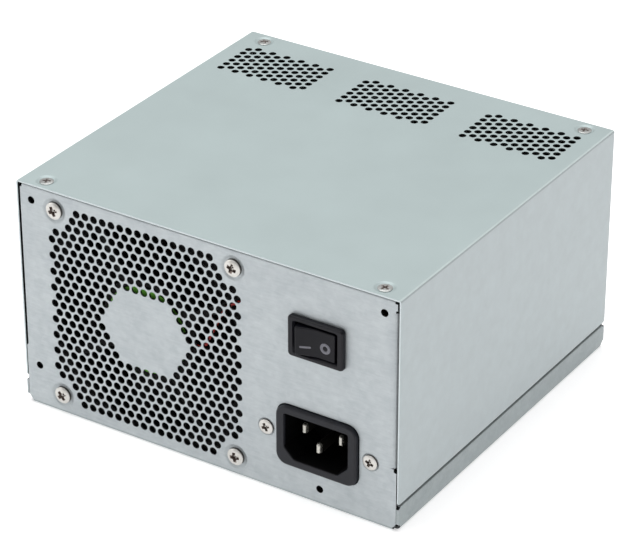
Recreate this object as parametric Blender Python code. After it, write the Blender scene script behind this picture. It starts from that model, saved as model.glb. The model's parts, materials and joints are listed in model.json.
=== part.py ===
"""A desktop computer's power supply unit (ATX size), as separate pieces.

A folded steel tray carries the fan, the mains inlet, the switch and the circuit board. A cover closes it.
Metres, +Z up. The origin is the centre of the case's base, and the rear panel, with the fan, faces -Y.
"""

import math

import bmesh
import bpy
from mathutils import Matrix, Vector

# Case
WIDTH, DEPTH, HEIGHT = 0.150, 0.140, 0.086
SHEET = 0.001
GAP = 0.0003  # between pieces that touch
SKIRT_TOP = 0.0085  # the tray's sides are flush with the cover's up to here
LAP_TOP = 0.0225  # and run on behind the cover's sides up to here
FLANGE_REACH = 0.010  # of the folds that the cover is screwed to
BEND = 0.0015  # outer radius of the cover's bends
REAR = -DEPTH / 2  # the rear panel's outer face
FRONT = DEPTH / 2
COVER_UNDER = HEIGHT - SHEET

# Vent holes, in rows that are staggered by half a pitch
VENT_RADIUS = 0.0013
VENT_PITCH = 0.00355
VENT_ROW = VENT_PITCH * math.sqrt(3) / 2
VENT_SIDES = 4
GRILLE_ROWS = 12  # on each side of the fan's centre
BLANK_ROWS = 4  # of the plain hexagon in the middle
SCREW_CLEAR = 0.0065  # no vent hole is nearer a fan screw
TOP_VENT_X = (-0.050, 0.0, 0.050)
TOP_VENT_Y = 0.0482
TOP_VENT_COLUMNS, TOP_VENT_HOLES = 12, 6

# Round holes
SCREW_SIDES = 8
SHEET_HOLE = 0.0021  # radius of the screws' clearance holes in the sheets
FRAME_HOLE, PLATE_HOLE = 0.00215, 0.0020  # and of those in the fan's frame and in the inlet's plate
ATX_HOLES = ((-0.069, 0.080), (-0.069, 0.016), (0.069, 0.080), (0.045, 0.006))
ATX_HOLE_RADIUS = 0.0014

# Fan, 80 mm. Its own frame has the fan's centre at the origin.
FAN = Vector((-0.02375, REAR + SHEET + GAP + 0.0125, 0.043))
FAN_SIDE, FAN_DEPTH = 0.080, 0.025
FAN_BORE = 0.038
FAN_FLANGE = 0.004
FAN_SCREW = 0.03575
HUB_RADIUS = 0.0183
HUB_FRONT, HUB_BACK, HUB_WALL, HUB_CHAMFER = -0.0075, 0.0115, 0.002, 0.001
BASE_RADIUS, BASE_FRONT, BASE_BACK = 0.019, -0.0112, -0.0087
BEARING_RADIUS, BEARING_FRONT, BEARING_BACK = 0.0045, -0.008, 0.004
STATOR_INNER, STATOR_OUTER, STATOR_FRONT, STATOR_BACK = 0.0049, 0.0153, -0.0065, 0.006
LABEL_RADIUS, LABEL_THICK, LABEL_SHIFT = 0.0162, 0.0003, -0.0008
STRUT_WIDTH, STRUTS, STRUT_TURN = 0.003, 4, math.radians(31)
BLADES, BLADE_TIP, BLADE_THICK = 7, 0.0368, 0.0014
BLADE_MIDDLE, BLADE_CAMBER, BLADE_SWEEP = 0.0015, 0.0016, math.radians(14)
ROOT_ANGLE, TIP_ANGLE = math.radians(22), math.radians(17)  # half of what a blade takes up of the turn
ROOT_RISE, TIP_RISE = 0.0078, 0.0066  # half of its depth along the axis
SHAFT_RADIUS, SHAFT_FRONT, SHAFT_BACK = 0.0015, -0.0072, 0.0092

# Mains inlet, from the rear panel's outer face
INLET = Vector((0.0443, REAR, 0.0232))
COLLAR_WIDTH, COLLAR_HEIGHT, COLLAR_CORNER = 0.031, 0.0225, 0.004
COLLAR_FRONT, INLET_BACK = -0.0015, 0.0175
CAVITY_WIDTH, CAVITY_HEIGHT, CAVITY_CHAMFER = 0.0242, 0.0165, 0.004
CAVITY_FLOOR = 0.0145
INLET_SCREW = 0.020
PLATE_WIDTH, PLATE_HEIGHT, PLATE_CORNER, PLATE_THICK = 0.050, 0.019, 0.005, 0.003
PIN_WIDTH, PIN_HEIGHT, TAB_END = 0.002, 0.004, 0.026
PINS = {"live": (0.007, 0.002, 0.0025), "neutral": (-0.007, 0.002, 0.0025), "earth": (0.0, -0.002, 0.0)}

# Switch, from the rear panel's outer face
SWITCH = Vector((0.0444, REAR, 0.062))
BEZEL_WIDTH, BEZEL_HEIGHT, BEZEL_FRONT, BEZEL_CORNER = 0.021, 0.015, -0.002, 0.0012
SWITCH_WIDTH, SWITCH_HEIGHT, SWITCH_BACK = 0.019, 0.013, 0.014
WINDOW_WIDTH, WINDOW_HEIGHT, WINDOW_FLOOR = 0.0156, 0.0106, 0.0063
PIVOT_DEPTH = 0.0004
ROCKER_TILT = math.radians(8)  # to each side of its middle position
ROCKER_FACE, ROCKER_REACH, ROCKER_PIN, ROCKER_BELLY = 0.0022, 0.0074, 0.001, 0.003
TERMINAL_X, TERMINAL_HEIGHT, TERMINAL_THICK, TERMINAL_END = 0.0045, 0.0063, 0.0008, 0.022
TERMINAL_DEPTH = 0.003  # of its slot in the housing

# Circuit board and what stands on it
BOARD_WIDTH, BOARD_LOW, BOARD_THICK = 0.138, 0.007, 0.0016
BOARD_REAR, BOARD_FRONT = -0.042, 0.062
BOARD_SCREWS = ((-0.064, -0.037), (0.064, -0.037), (-0.064, 0.057), (0.064, 0.057))
EARTH_SCREW = (0.030, -0.056)
BOSS_RADIUS, BOSS_HOLE, BOSS_TOP = 0.0035, 0.002, BOARD_LOW - GAP
SEAT = BOARD_LOW + BOARD_THICK + GAP  # height of the parts on the board

HEATSINK_SPAN = (-0.034, 0.058)  # along Y
PRIMARY_X, SECONDARY_X = 0.0255, -0.0190  # of the heatsinks

# Plain parts on the board: x, y, width, depth, height, corner radius, finish
BLOCKS = {
    "bridge_rectifier": (0.0295, -0.022, 0.0038, 0.022, 0.020, 0, "epoxy"),
    "primary_transistor_1": (0.0213, 0.000, 0.0046, 0.015, 0.022, 0, "epoxy"),
    "primary_transistor_2": (0.0213, 0.022, 0.0046, 0.015, 0.022, 0, "epoxy"),
    "output_rectifier": (-0.0234, 0.010, 0.0046, 0.015, 0.022, 0, "epoxy"),
    "line_filter_choke": (0.052, -0.0125, 0.022, 0.015, 0.020, 0.002, "copper"),
    "line_filter_capacitor": (0.052, -0.027, 0.026, 0.010, 0.018, 0.001, "film_capacitor"),
    "control_board": (0.002, 0.045, 0.022, 0.0016, 0.028, 0, "laminate"),
}
# Transformers: x, y, then width, depth, low and high end of the core, and of the winding with its corner
TRANSFORMERS = {
    "main_transformer": (0.003, 0.010, (0.028, 0.016, 0, 0.032), (0.024, 0.034, 0.003, 0.029, 0.004)),
    "standby_transformer": (0.003, -0.024, (0.018, 0.008, 0, 0.017), (0.015, 0.016, 0.002, 0.015, 0.002)),
}
# Toroidal chokes: x, y, outer radius, length, and the axis that they lie along
CHOKE_BORE = 0.006
CHOKES = {
    "pfc_choke": (0.052, 0.0115, 0.015, 0.014, "Z"),
    "output_choke": (-0.048, -0.012, 0.0155, 0.015, "Y"),
}
# Capacitors: x, y, radius, height, sides
CAPACITORS = {"bulk_capacitor": (0.052, 0.042, 0.015, 0.045, 20)}
CAPACITORS |= {f"output_capacitor_{n + 1}": (0.012 * n - 0.058, 0.024, 0.005, 0.022, 12) for n in range(3)}
FUSE = (0.0525, -0.0388, 0.0025, 0.008)  # x, y, radius, half its length

# Cable outlet and slots in the front wall
OUTLET = Vector((-0.045, FRONT, 0.030))
OUTLET_WIDTH, OUTLET_HEIGHT, OUTLET_CORNER = 0.028, 0.018, 0.004
GROMMET_WALL, GROMMET_LIP, GROMMET_FRONT, GROMMET_BACK = 0.003, 0.0025, 0.002, -0.005
SLOT_WIDTH, SLOT_LOW, SLOT_HIGH, SLOT_PITCH, SLOTS = 0.0032, 0.026, 0.060, 0.008, 10

# Leads inside the case: radius, finish, and points along the route
WIRE, FAN_WIRE = 0.0012, 0.0005
LEADS = {
    "live_lead": (
        WIRE,
        "brown_wire",
        [
            (0.0513, -0.0435, 0.0252),
            (0.0514, -0.0400, 0.0275),
            (0.0515, -0.0385, 0.0360),
            (0.0500, -0.0385, 0.0500),
            (0.0489, -0.0420, 0.0595),
            (0.0489, -0.0475, 0.0620),
        ],
    ),
    "switched_lead": (
        WIRE,
        "brown_wire",
        [
            (0.0399, -0.0475, 0.0620),
            (0.0399, -0.0420, 0.0595),
            (0.0392, -0.0380, 0.0480),
            (0.0385, -0.0372, 0.0300),
            (0.0370, -0.0375, 0.0160),
            (0.0365, -0.0375, 0.0092),
        ],
    ),
    "neutral_lead": (
        WIRE,
        "blue_wire",
        [
            (0.0373, -0.0435, 0.0252),
            (0.0368, -0.0405, 0.0245),
            (0.0345, -0.0385, 0.0200),
            (0.0310, -0.0380, 0.0145),
            (0.0300, -0.0380, 0.0092),
        ],
    ),
    "earth_lead": (
        WIRE,
        "green_wire",
        [
            (0.0443, -0.0434, 0.0212),
            (0.0443, -0.0420, 0.0211),
            (0.0439, -0.0402, 0.0190),
            (0.0428, -0.0410, 0.0145),
            (0.0412, -0.0450, 0.0100),
            (0.0375, -0.0500, 0.0083),
            (0.0336, -0.0545, 0.0082),
        ],
    ),
}
# The fan's lead, from where it leaves the fan's frame
# Radius and angle round the fan's axis
FAN_LEAD_START = ((0.0185, 2), (0.0236, 6), (0.0367, 31), (0.0462, 31))
FAN_LEAD_ROUTE = [
    Vector((0.0178, -0.0660, 0.0695)),
    Vector((0.0178, -0.0550, 0.0710)),
    Vector((0.0185, -0.0430, 0.0690)),
    Vector((0.0210, -0.0385, 0.0580)),
    Vector((0.0210, -0.0380, 0.0300)),
    Vector((0.0210, -0.0380, 0.0092)),
]

# Screws: head radius, head height, shank radius, length under the head
PAN_SCREW = (0.0033, 0.0010, 0.0016, 0.0075)
SMALL_SCREW = (0.00285, 0.0010, 0.0016, 0.0050)
FLAT_SCREW = (0.0031, 0.0, 0.0017, 0.0060)
CONE_SLOPE = 6 / 7  # of the flat head's underside
COVER_SCREW = (0.066, 0.065)
SINK_LOW, SINK_WALL, SINK_HIGH = (0.0011, -0.002), (0.0022, -0.0011), (0.0048, 0.001)  # radius, height

# Colours as 8-bit sRGB, roughness, metallic
FINISHES = {
    "steel": ((188, 197, 197), 0.42, 0.85),
    "screw": ((214, 206, 190), 0.32, 0.9),
    "black_plastic": ((38, 38, 43), 0.45, 0.0),
    "rocker_plastic": ((44, 44, 50), 0.35, 0.0),
    "fan_plastic": ((30, 30, 32), 0.5, 0.0),
    "brass": ((200, 176, 120), 0.3, 0.95),
    "label": ((128, 176, 84), 0.55, 0.0),
    "laminate": ((92, 120, 60), 0.6, 0.0),
    "film": ((205, 190, 120), 0.35, 0.0),
    "aluminium": ((176, 179, 182), 0.4, 0.9),
    "tape": ((214, 176, 66), 0.45, 0.0),
    "copper": ((176, 104, 56), 0.35, 0.8),
    "sleeve": ((30, 34, 44), 0.35, 0.0),
    "epoxy": ((28, 28, 30), 0.5, 0.0),
    "film_capacitor": ((196, 168, 60), 0.5, 0.0),
    "fuse_ceramic": ((222, 220, 210), 0.35, 0.0),
    "red_wire": ((176, 48, 44), 0.45, 0.0),
    "brown_wire": ((96, 58, 38), 0.45, 0.0),
    "blue_wire": ((44, 74, 150), 0.45, 0.0),
    "green_wire": ((70, 140, 60), 0.45, 0.0),
}


def clear_scene():
    for obj in list(bpy.data.objects):
        bpy.data.objects.remove(obj, do_unlink=True)


def linear(value):
    """An 8-bit sRGB value as a linear one."""
    share = value / 255
    return share / 12.92 if share <= 0.04045 else ((share + 0.055) / 1.055) ** 2.4


def material(finish):
    found = bpy.data.materials.get(finish)
    if found:
        return found
    colour, roughness, metallic = FINISHES[finish]
    made = bpy.data.materials.new(finish)
    made.use_nodes = True
    shader = made.node_tree.nodes["Principled BSDF"]
    rgba = [linear(value) for value in colour] + [1.0]
    shader.inputs["Base Color"].default_value = rgba
    shader.inputs["Roughness"].default_value = roughness
    shader.inputs["Metallic"].default_value = metallic
    made.diffuse_color = rgba
    return made


# Outlines: lists of points in a plane


def rectangle(u, v, width, height):
    return [(u + a * width / 2, v + b * height / 2) for a, b in ((-1, -1), (1, -1), (1, 1), (-1, 1))]


def rounded(u, v, width, height, radius, steps=3):
    """A rectangle with round corners, each of this many steps."""
    points = []
    for quarter, (a, b) in enumerate(((1, 1), (-1, 1), (-1, -1), (1, -1))):
        for step in range(steps + 1):
            angle = (quarter + step / steps) * math.pi / 2
            points.append(
                (
                    u + a * (width / 2 - radius) + radius * math.cos(angle),
                    v + b * (height / 2 - radius) + radius * math.sin(angle),
                )
            )
    return points


def polygon(u, v, radius, sides):
    """A regular polygon with the area of a circle of this radius, standing on one side."""
    reach = radius * math.sqrt(2 * math.pi / (sides * math.sin(2 * math.pi / sides)))
    turns = [(side + 0.5) * 2 * math.pi / sides for side in range(sides)]
    return [(u + reach * math.cos(turn), v + reach * math.sin(turn)) for turn in turns]


def small_circle(u, v, radius=SHEET_HOLE):
    """The outline of a screw's hole, or of a pin."""
    return polygon(u, v, radius, SCREW_SIDES)


# Solids, added to a bmesh


def add_prism(bm, outline, low, high, axis="Z"):
    """Extrudes an outline along an axis. Its points are (y, z), (x, z) or (x, y), by the axis."""
    number = "XYZ".index(axis)
    points = [Vector((*point[:number], low, *point[number:])) for point in outline]
    shift = Vector([high - low if axis == name else 0 for name in "XYZ"])
    face = bm.faces.new([bm.verts.new(point) for point in points])
    made = bmesh.ops.extrude_face_region(bm, geom=[face], use_keep_orig=True)["geom"]
    far_verts = [item for item in made if isinstance(item, bmesh.types.BMVert)]
    bmesh.ops.translate(bm, vec=shift, verts=far_verts)


def add_turned(bm, profile, sides, axis="Z", centre=(0, 0, 0)):
    """Turns a profile of (radius, height) points about an axis through the centre."""
    turn = {
        "X": Matrix.Rotation(math.pi / 2, 4, "Y"),
        "Y": Matrix.Rotation(-math.pi / 2, 4, "X"),
        "Z": Matrix.Identity(4),
    }[axis]
    place = Matrix.Translation(centre) @ turn
    verts = [bm.verts.new(place @ Vector((radius, 0, height))) for radius, height in profile]
    edges = [bm.edges.new(pair) for pair in zip(verts, verts[1:])]
    spun = place.to_3x3() @ Vector((0, 0, 1))
    bmesh.ops.spin(
        bm,
        geom=verts + edges,
        cent=centre,
        axis=spun,
        angle=2 * math.pi,
        steps=sides,
        use_merge=True,
    )
    bmesh.ops.remove_doubles(bm, verts=bm.verts, dist=1e-7)


def mesh_of(name, build):
    """The mesh that a function builds in an empty bmesh."""
    bm = bmesh.new()
    build(bm)
    bmesh.ops.recalc_face_normals(bm, faces=bm.faces)
    mesh = bpy.data.meshes.new(name)
    bm.to_mesh(mesh)
    bm.free()
    return mesh


# Objects


def add_object(name, mesh, finish, place=(0, 0, 0), turn=(0, 0, 0), smooth=False):
    obj = bpy.data.objects.new(name, mesh)
    obj.location = place
    obj.rotation_euler = turn
    if not mesh.materials:
        mesh.materials.append(material(finish))
    if smooth:
        mesh.shade_smooth()
        mesh.set_sharp_from_angle(angle=math.radians(40))
    bpy.context.scene.collection.objects.link(obj)
    return obj


def combine(target, name, operation, build):
    """Cuts from an object, or joins to it, a hidden shape that is built in the object's own frame."""
    tool = bpy.data.objects.new(f"{target.name}_{name}", mesh_of(name, build))
    tool.parent = target
    tool.hide_render = True
    tool.display_type = "WIRE"
    bpy.context.scene.collection.objects.link(tool)
    modifier = target.modifiers.new(name, "BOOLEAN")
    modifier.operation = operation
    modifier.solver = "EXACT"
    modifier.object = tool


def cut(target, name, build):
    combine(target, name, "DIFFERENCE", build)


def join(target, name, build):
    combine(target, name, "UNION", build)


def prism_object(name, outline, low, high, axis, finish, place=(0, 0, 0)):
    mesh = mesh_of(name, lambda bm: add_prism(bm, outline, low, high, axis))
    return add_object(name, mesh, finish, place)


def turned_object(name, profile, sides, axis, finish, place=(0, 0, 0)):
    mesh = mesh_of(name, lambda bm: add_turned(bm, profile, sides, axis))
    return add_object(name, mesh, finish, place, smooth=True)


# Case


def grille_holes():
    """Centres (x, z) of the fan grille's holes: a hexagon-packed octagon around a plain hexagon."""
    holes = []
    for row in range(-GRILLE_ROWS, GRILLE_ROWS + 1):
        count = 22 if row % 2 == 0 else 21
        for place in range(count):
            x = (place - (count - 1) / 2) * VENT_PITCH
            z = row * VENT_ROW
            blank = abs(row) <= BLANK_ROWS and abs(x) <= (BLANK_ROWS + 0.51 - abs(row) / 2) * VENT_PITCH
            near_screw = math.hypot(abs(x) - FAN_SCREW, abs(z) - FAN_SCREW) < SCREW_CLEAR
            if not blank and not near_screw:
                holes.append((FAN.x + x, FAN.z + z))
    return holes


def top_holes():
    """Centres (x, y) of the cover's vent holes, in three groups of staggered columns."""
    holes = []
    for middle in TOP_VENT_X:
        for column in range(TOP_VENT_COLUMNS):
            x = middle + (column - (TOP_VENT_COLUMNS - 1) / 2) * VENT_ROW
            stagger = (0.25 if column % 2 else -0.25) * VENT_PITCH
            for place in range(TOP_VENT_HOLES):
                y = TOP_VENT_Y + stagger + (place - (TOP_VENT_HOLES - 1) / 2) * VENT_PITCH
                holes.append((x, y))
    return holes


def mirrored(points):
    """An outline from its right half, bottom to top."""
    return points + [(-u, v) for u, v in reversed(points)]


def add_boss(bm, x, y):
    """A raised threaded boss, standing in the floor's sheet."""
    low, bottom, sides = 0.4 * SHEET, 1.5 * SHEET, 10
    profile = [(0, low), (BOSS_RADIUS, low), (BOSS_RADIUS, BOSS_TOP), (BOSS_HOLE, BOSS_TOP)]
    add_turned(bm, profile + [(BOSS_HOLE, bottom), (0, bottom)], sides, centre=(x, y, 0))


def build_panel_holes(bm):
    """The rear panel's holes, apart from the grille."""
    low, high = REAR - SHEET, REAR + 2 * SHEET
    for a in (-1, 1):
        for b in (-1, 1):
            hole = small_circle(FAN.x + a * FAN_SCREW, FAN.z + b * FAN_SCREW)
            add_prism(bm, hole, low, high, "Y")
        add_prism(bm, small_circle(INLET.x + a * INLET_SCREW, INLET.z), low, high, "Y")
    for x, z in ATX_HOLES:
        add_prism(bm, small_circle(x, z, ATX_HOLE_RADIUS), low, high, "Y")
    room = 2 * GAP
    collar = rounded(INLET.x, INLET.z, COLLAR_WIDTH + room, COLLAR_HEIGHT + room, COLLAR_CORNER + GAP)
    add_prism(bm, collar, low, high, "Y")
    add_prism(bm, rectangle(SWITCH.x, SWITCH.z, SWITCH_WIDTH + room, SWITCH_HEIGHT + room), low, high, "Y")


def build_front_holes(bm):
    """The cable outlet and the slots of the front wall."""
    low, high = FRONT - 2 * SHEET, FRONT + SHEET
    room = 2 * GAP
    outlet = rounded(OUTLET.x, OUTLET.z, OUTLET_WIDTH + room, OUTLET_HEIGHT + room, OUTLET_CORNER + GAP)
    add_prism(bm, outlet, low, high, "Y")
    middle, tall = (SLOT_LOW + SLOT_HIGH) / 2, SLOT_HIGH - SLOT_LOW
    for slot in range(SLOTS):
        add_prism(bm, rectangle((slot - 1) * SLOT_PITCH, middle, SLOT_WIDTH, tall), low, high, "Y")


def make_tray():
    half = WIDTH / 2
    lap = half - SHEET - GAP  # outer face of what the cover's sides lap
    top = COVER_UNDER - GAP
    outside = mirrored([(half, 0), (half, SKIRT_TOP), (lap, SKIRT_TOP), (lap, top)])
    tray = prism_object("tray", outside, REAR, FRONT, "Y", "steel")
    step = SKIRT_TOP - SHEET
    ceiling = top - SHEET
    inside = mirrored(
        [
            (half - SHEET, SHEET),
            (half - SHEET, step),
            (lap - SHEET, step),
            (lap - SHEET, LAP_TOP),
            (WIDTH, LAP_TOP),
            (WIDTH, ceiling),
        ]
    )
    cut(tray, "hollow", lambda bm: add_prism(bm, inside, REAR + SHEET, FRONT - SHEET, "Y"))
    mouth = rectangle(0, 0, 2 * WIDTH, DEPTH - 2 * FLANGE_REACH)
    cut(tray, "mouth", lambda bm: add_prism(bm, mouth, ceiling - SHEET, 2 * HEIGHT))
    join(tray, "bosses", lambda bm: [add_boss(bm, x, y) for x, y in (*BOARD_SCREWS, EARTH_SCREW)])
    cut(tray, "panel_holes", build_panel_holes)
    cut(tray, "front_holes", build_front_holes)

    def build_flange_holes(bm):
        for x, y, _ in cover_screws():
            add_prism(bm, small_circle(x, y), ceiling - SHEET, HEIGHT)

    cut(tray, "flange_holes", build_flange_holes)

    def build_grille(bm):
        for x, z in grille_holes():
            add_prism(bm, polygon(x, z, VENT_RADIUS, VENT_SIDES), REAR - SHEET, REAR + 2 * SHEET, "Y")

    cut(tray, "grille", build_grille)


def cover_outline():
    """The cover's section (x, z): an upside-down U of one sheet, with bends."""
    middle_x, middle_z = WIDTH / 2 - BEND, HEIGHT - BEND
    turns = [step * math.pi / 6 for step in range(4)]

    def face(radius):
        bend = [(middle_x + radius * math.cos(turn), middle_z + radius * math.sin(turn)) for turn in turns]
        return mirrored([(middle_x + radius, SKIRT_TOP + GAP)] + bend)

    return face(BEND) + face(BEND - SHEET)[::-1]


def cover_screws():
    """(x, y, z) of each cover screw."""
    x, y = COVER_SCREW
    return [(a * x, b * y, HEIGHT - GAP / 2) for b in (-1, 1) for a in (-1, 1)]


def make_cover():
    cover = prism_object("cover", cover_outline(), REAR, FRONT, "Y", "steel")

    def build_vents(bm):
        for x, y in top_holes():
            add_prism(bm, polygon(x, y, VENT_RADIUS, VENT_SIDES), HEIGHT - 2 * SHEET, HEIGHT + SHEET)

    def build_sinks(bm):
        """Countersinks: their radius grows as fast as the screws' heads."""
        profile = [(0, SINK_LOW[1]), SINK_LOW, SINK_WALL, SINK_HIGH, (0, SINK_HIGH[1])]
        for x, y, _ in cover_screws():
            add_turned(bm, profile, SCREW_SIDES, centre=(x, y, HEIGHT))

    cut(cover, "vents", build_vents)
    cut(cover, "countersinks", build_sinks)


# Fasteners


def screw_mesh(name, kind):
    """A screw along Z, with its head's seat at height 0, or its flat head's top."""
    head, tall, shank, length = kind
    if tall:
        crown = [(0, tall), (0.7 * head, tall), (head, 0.4 * tall), (head, 0), (shank, 0)]
    else:
        crown = [(0, 0), (head, 0), (shank, CONE_SLOPE * (shank - head))]
    profile = crown + [(shank, -length + shank / 2), (shank / 2, -length), (0, -length)]
    return mesh_of(name, lambda bm: add_turned(bm, profile, SCREW_SIDES))


def make_screws():
    facing_rear = (math.pi / 2, 0, 0)
    mesh = screw_mesh("pan_screw", PAN_SCREW)
    corners = [(a, b) for b in (1, -1) for a in (-1, 1)]
    for number, (a, b) in enumerate(corners, 1):
        place = (FAN.x + a * FAN_SCREW, REAR - GAP, FAN.z + b * FAN_SCREW)
        add_object(f"fan_screw_{number}", mesh, "screw", place, facing_rear, smooth=True)
    mesh = screw_mesh("small_screw", SMALL_SCREW)
    for number, side in enumerate((-1, 1), 1):
        place = (INLET.x + side * INLET_SCREW, REAR - GAP, INLET.z)
        add_object(f"inlet_screw_{number}", mesh, "screw", place, facing_rear, smooth=True)
    for number, (x, y) in enumerate(BOARD_SCREWS, 1):
        add_object(f"board_screw_{number}", mesh, "screw", (x, y, SEAT), smooth=True)
    add_object("earth_screw", mesh, "screw", (*EARTH_SCREW, BOSS_TOP + GAP), smooth=True)
    mesh = screw_mesh("flat_screw", FLAT_SCREW)
    for number, place in enumerate(cover_screws(), 1):
        add_object(f"cover_screw_{number}", mesh, "screw", place, smooth=True)


# Fan


def make_fan_frame():
    half = FAN_DEPTH / 2
    outline = rounded(0, 0, FAN_SIDE, FAN_SIDE, 0.004)
    frame = prism_object("fan_frame", outline, -half, half, "Y", "fan_plastic", FAN)
    bore = [(0, -FAN_DEPTH), (FAN_BORE, -FAN_DEPTH), (FAN_BORE, FAN_DEPTH), (0, FAN_DEPTH)]
    cut(frame, "bore", lambda bm: add_turned(bm, bore, 32, "Y"))
    near, far = 0.022, 0.041  # of the triangular pockets between the flanges
    corners = [(a, b) for a in (-1, 1) for b in (-1, 1)]

    def build_pockets(bm):
        for a, b in corners:
            outline = [(a * far, b * near), (a * far, b * far), (a * near, b * far)]
            add_prism(bm, outline, FAN_FLANGE - half, half - FAN_FLANGE, "Y")

    def build_screw_holes(bm):
        for a, b in corners:
            hole = small_circle(a * FAN_SCREW, b * FAN_SCREW, FRAME_HOLE)
            add_prism(bm, hole, -FAN_DEPTH, FAN_DEPTH, "Y")

    def build_lead_channel(bm):
        start, end, width = 0.036, 0.060, 0.0022
        outline = rectangle((start + end) / 2, 0, end - start, width)
        add_prism(bm, turned_points(outline, STRUT_TURN), -FAN_DEPTH, BASE_FRONT + 0.0006, "Y")

    def build_base(bm):
        disc = [(0, BASE_FRONT), (BASE_RADIUS, BASE_FRONT), (BASE_RADIUS, BASE_BACK)]
        tube = [(BEARING_RADIUS, BASE_BACK), (BEARING_RADIUS, BEARING_BACK)]
        bore = [(SHAFT_RADIUS + GAP, BEARING_BACK), (SHAFT_RADIUS + GAP, BEARING_FRONT), (0, BEARING_FRONT)]
        add_turned(bm, disc + tube + bore, 16, "Y")

    def build_struts(bm):
        start, end = 0.015, FAN_BORE + 0.0012
        outline = rectangle((start + end) / 2, 0, end - start, STRUT_WIDTH)
        for strut in range(STRUTS):
            turn = STRUT_TURN + strut * 2 * math.pi / STRUTS
            add_prism(bm, turned_points(outline, turn), BASE_FRONT + 0.0002, BASE_BACK + 0.0006, "Y")

    cut(frame, "pockets", build_pockets)
    cut(frame, "screw_holes", build_screw_holes)
    join(frame, "base", build_base)
    join(frame, "struts", build_struts)
    cut(frame, "lead_channel", build_lead_channel)


def turned_points(points, angle):
    cosine, sine = math.cos(angle), math.sin(angle)
    return [(u * cosine - v * sine, u * sine + v * cosine) for u, v in points]


def add_blade(bm, start):
    """A thin twisted blade, as a grid of points on its two faces, from inside the hub's wall to the tip."""
    stations, places = 3, 4
    root = HUB_RADIUS - HUB_WALL / 3
    faces = []
    for side in (-1, 1):
        rows = []
        for station in range(stations):
            share = station / (stations - 1)
            radius = root + share * (BLADE_TIP - root)
            half_angle = ROOT_ANGLE + share * (TIP_ANGLE - ROOT_ANGLE)
            half_rise = ROOT_RISE + share * (TIP_RISE - ROOT_RISE)
            row = []
            for place in range(places):
                along = 2 * place / (places - 1) - 1
                angle = start + half_angle * along + BLADE_SWEEP * share
                camber = BLADE_CAMBER * (1 - along**2)
                y = BLADE_MIDDLE + half_rise * along + camber + side * BLADE_THICK / 2
                row.append(bm.verts.new((radius * math.cos(angle), y, radius * math.sin(angle))))
            rows.append(row)
        faces.append(rows)
    low, high = faces
    for i in range(stations - 1):
        for j in range(places - 1):
            for rows in faces:
                bm.faces.new((rows[i][j], rows[i + 1][j], rows[i + 1][j + 1], rows[i][j + 1]))
    rim = [(i, 0) for i in range(stations)]
    rim += [(stations - 1, j) for j in range(1, places)]
    rim += [(i, places - 1) for i in range(stations - 2, -1, -1)]
    rim += [(0, j) for j in range(places - 2, 0, -1)]
    for (i, j), (k, m) in zip(rim, rim[1:] + rim[:1]):
        bm.faces.new((low[i][j], low[k][m], high[k][m], high[i][j]))


def make_fan():
    make_fan_frame()
    inner, ceiling = HUB_RADIUS - HUB_WALL, HUB_BACK - HUB_WALL
    cup = [
        (0, HUB_BACK),
        (HUB_RADIUS - HUB_CHAMFER, HUB_BACK),
        (HUB_RADIUS, HUB_BACK - HUB_CHAMFER),
        (HUB_RADIUS, HUB_FRONT),
        (inner, HUB_FRONT),
        (inner, ceiling),
        (0, ceiling),
    ]
    rotor = turned_object("fan_rotor", cup, 20, "Y", "fan_plastic", FAN)
    starts = [blade * 2 * math.pi / BLADES for blade in range(BLADES)]
    join(rotor, "blades", lambda bm: [add_blade(bm, start) for start in starts])
    shaft = [(0, SHAFT_BACK), (SHAFT_RADIUS, SHAFT_BACK), (SHAFT_RADIUS, SHAFT_FRONT), (0, SHAFT_FRONT)]
    turned_object("fan_shaft", shaft, 10, "Y", "brass", FAN)
    front = [(STATOR_INNER, STATOR_FRONT), (STATOR_OUTER, STATOR_FRONT)]
    back = [(STATOR_OUTER, STATOR_BACK), (STATOR_INNER, STATOR_BACK)]
    turned_object("fan_stator", front + back + front[:1], 14, "Y", "copper", FAN)
    label_back = BASE_FRONT - GAP
    label_front = label_back - LABEL_THICK
    label = [(0, label_front), (LABEL_RADIUS, label_front), (LABEL_RADIUS, label_back), (0, label_back)]
    turned_object("fan_label", label, 20, "Y", "label", FAN + Vector((LABEL_SHIFT, 0, 0)))


# Mains inlet and switch


def make_inlet():
    outline = rounded(0, 0, COLLAR_WIDTH, COLLAR_HEIGHT, COLLAR_CORNER)
    housing = prism_object("inlet_housing", outline, COLLAR_FRONT, INLET_BACK, "Y", "black_plastic", INLET)
    behind = SHEET + GAP
    plate = rounded(0, 0, PLATE_WIDTH, PLATE_HEIGHT, PLATE_CORNER)
    join(housing, "plate", lambda bm: add_prism(bm, plate, behind, behind + PLATE_THICK, "Y"))
    right, top, chamfer = CAVITY_WIDTH / 2, CAVITY_HEIGHT / 2, CAVITY_CHAMFER
    cavity = mirrored([(right - chamfer, -top), (right, chamfer - top), (right, top)])
    cut(housing, "cavity", lambda bm: add_prism(bm, cavity, 2 * COLLAR_FRONT, CAVITY_FLOOR, "Y"))

    def build_holes(bm):
        for x, z, _ in PINS.values():
            outline = rectangle(x, z, PIN_WIDTH + 2 * GAP, PIN_HEIGHT + 2 * GAP)
            add_prism(bm, outline, CAVITY_FLOOR - SHEET, INLET_BACK + SHEET, "Y")
        for side in (-1, 1):
            add_prism(bm, small_circle(side * INLET_SCREW, 0, PLATE_HOLE), 0, behind + 2 * PLATE_THICK, "Y")

    cut(housing, "holes", build_holes)
    for name, (x, z, tip) in PINS.items():
        half = PIN_WIDTH / 2
        outline = mirrored([(0.4 * half, tip), (half, tip + 0.0012), (half, TAB_END)])
        low, high = -PIN_HEIGHT / 2, PIN_HEIGHT / 2
        prism_object(f"inlet_pin_{name}", outline, low, high, "Z", "brass", INLET + Vector((x, 0, z)))


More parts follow.
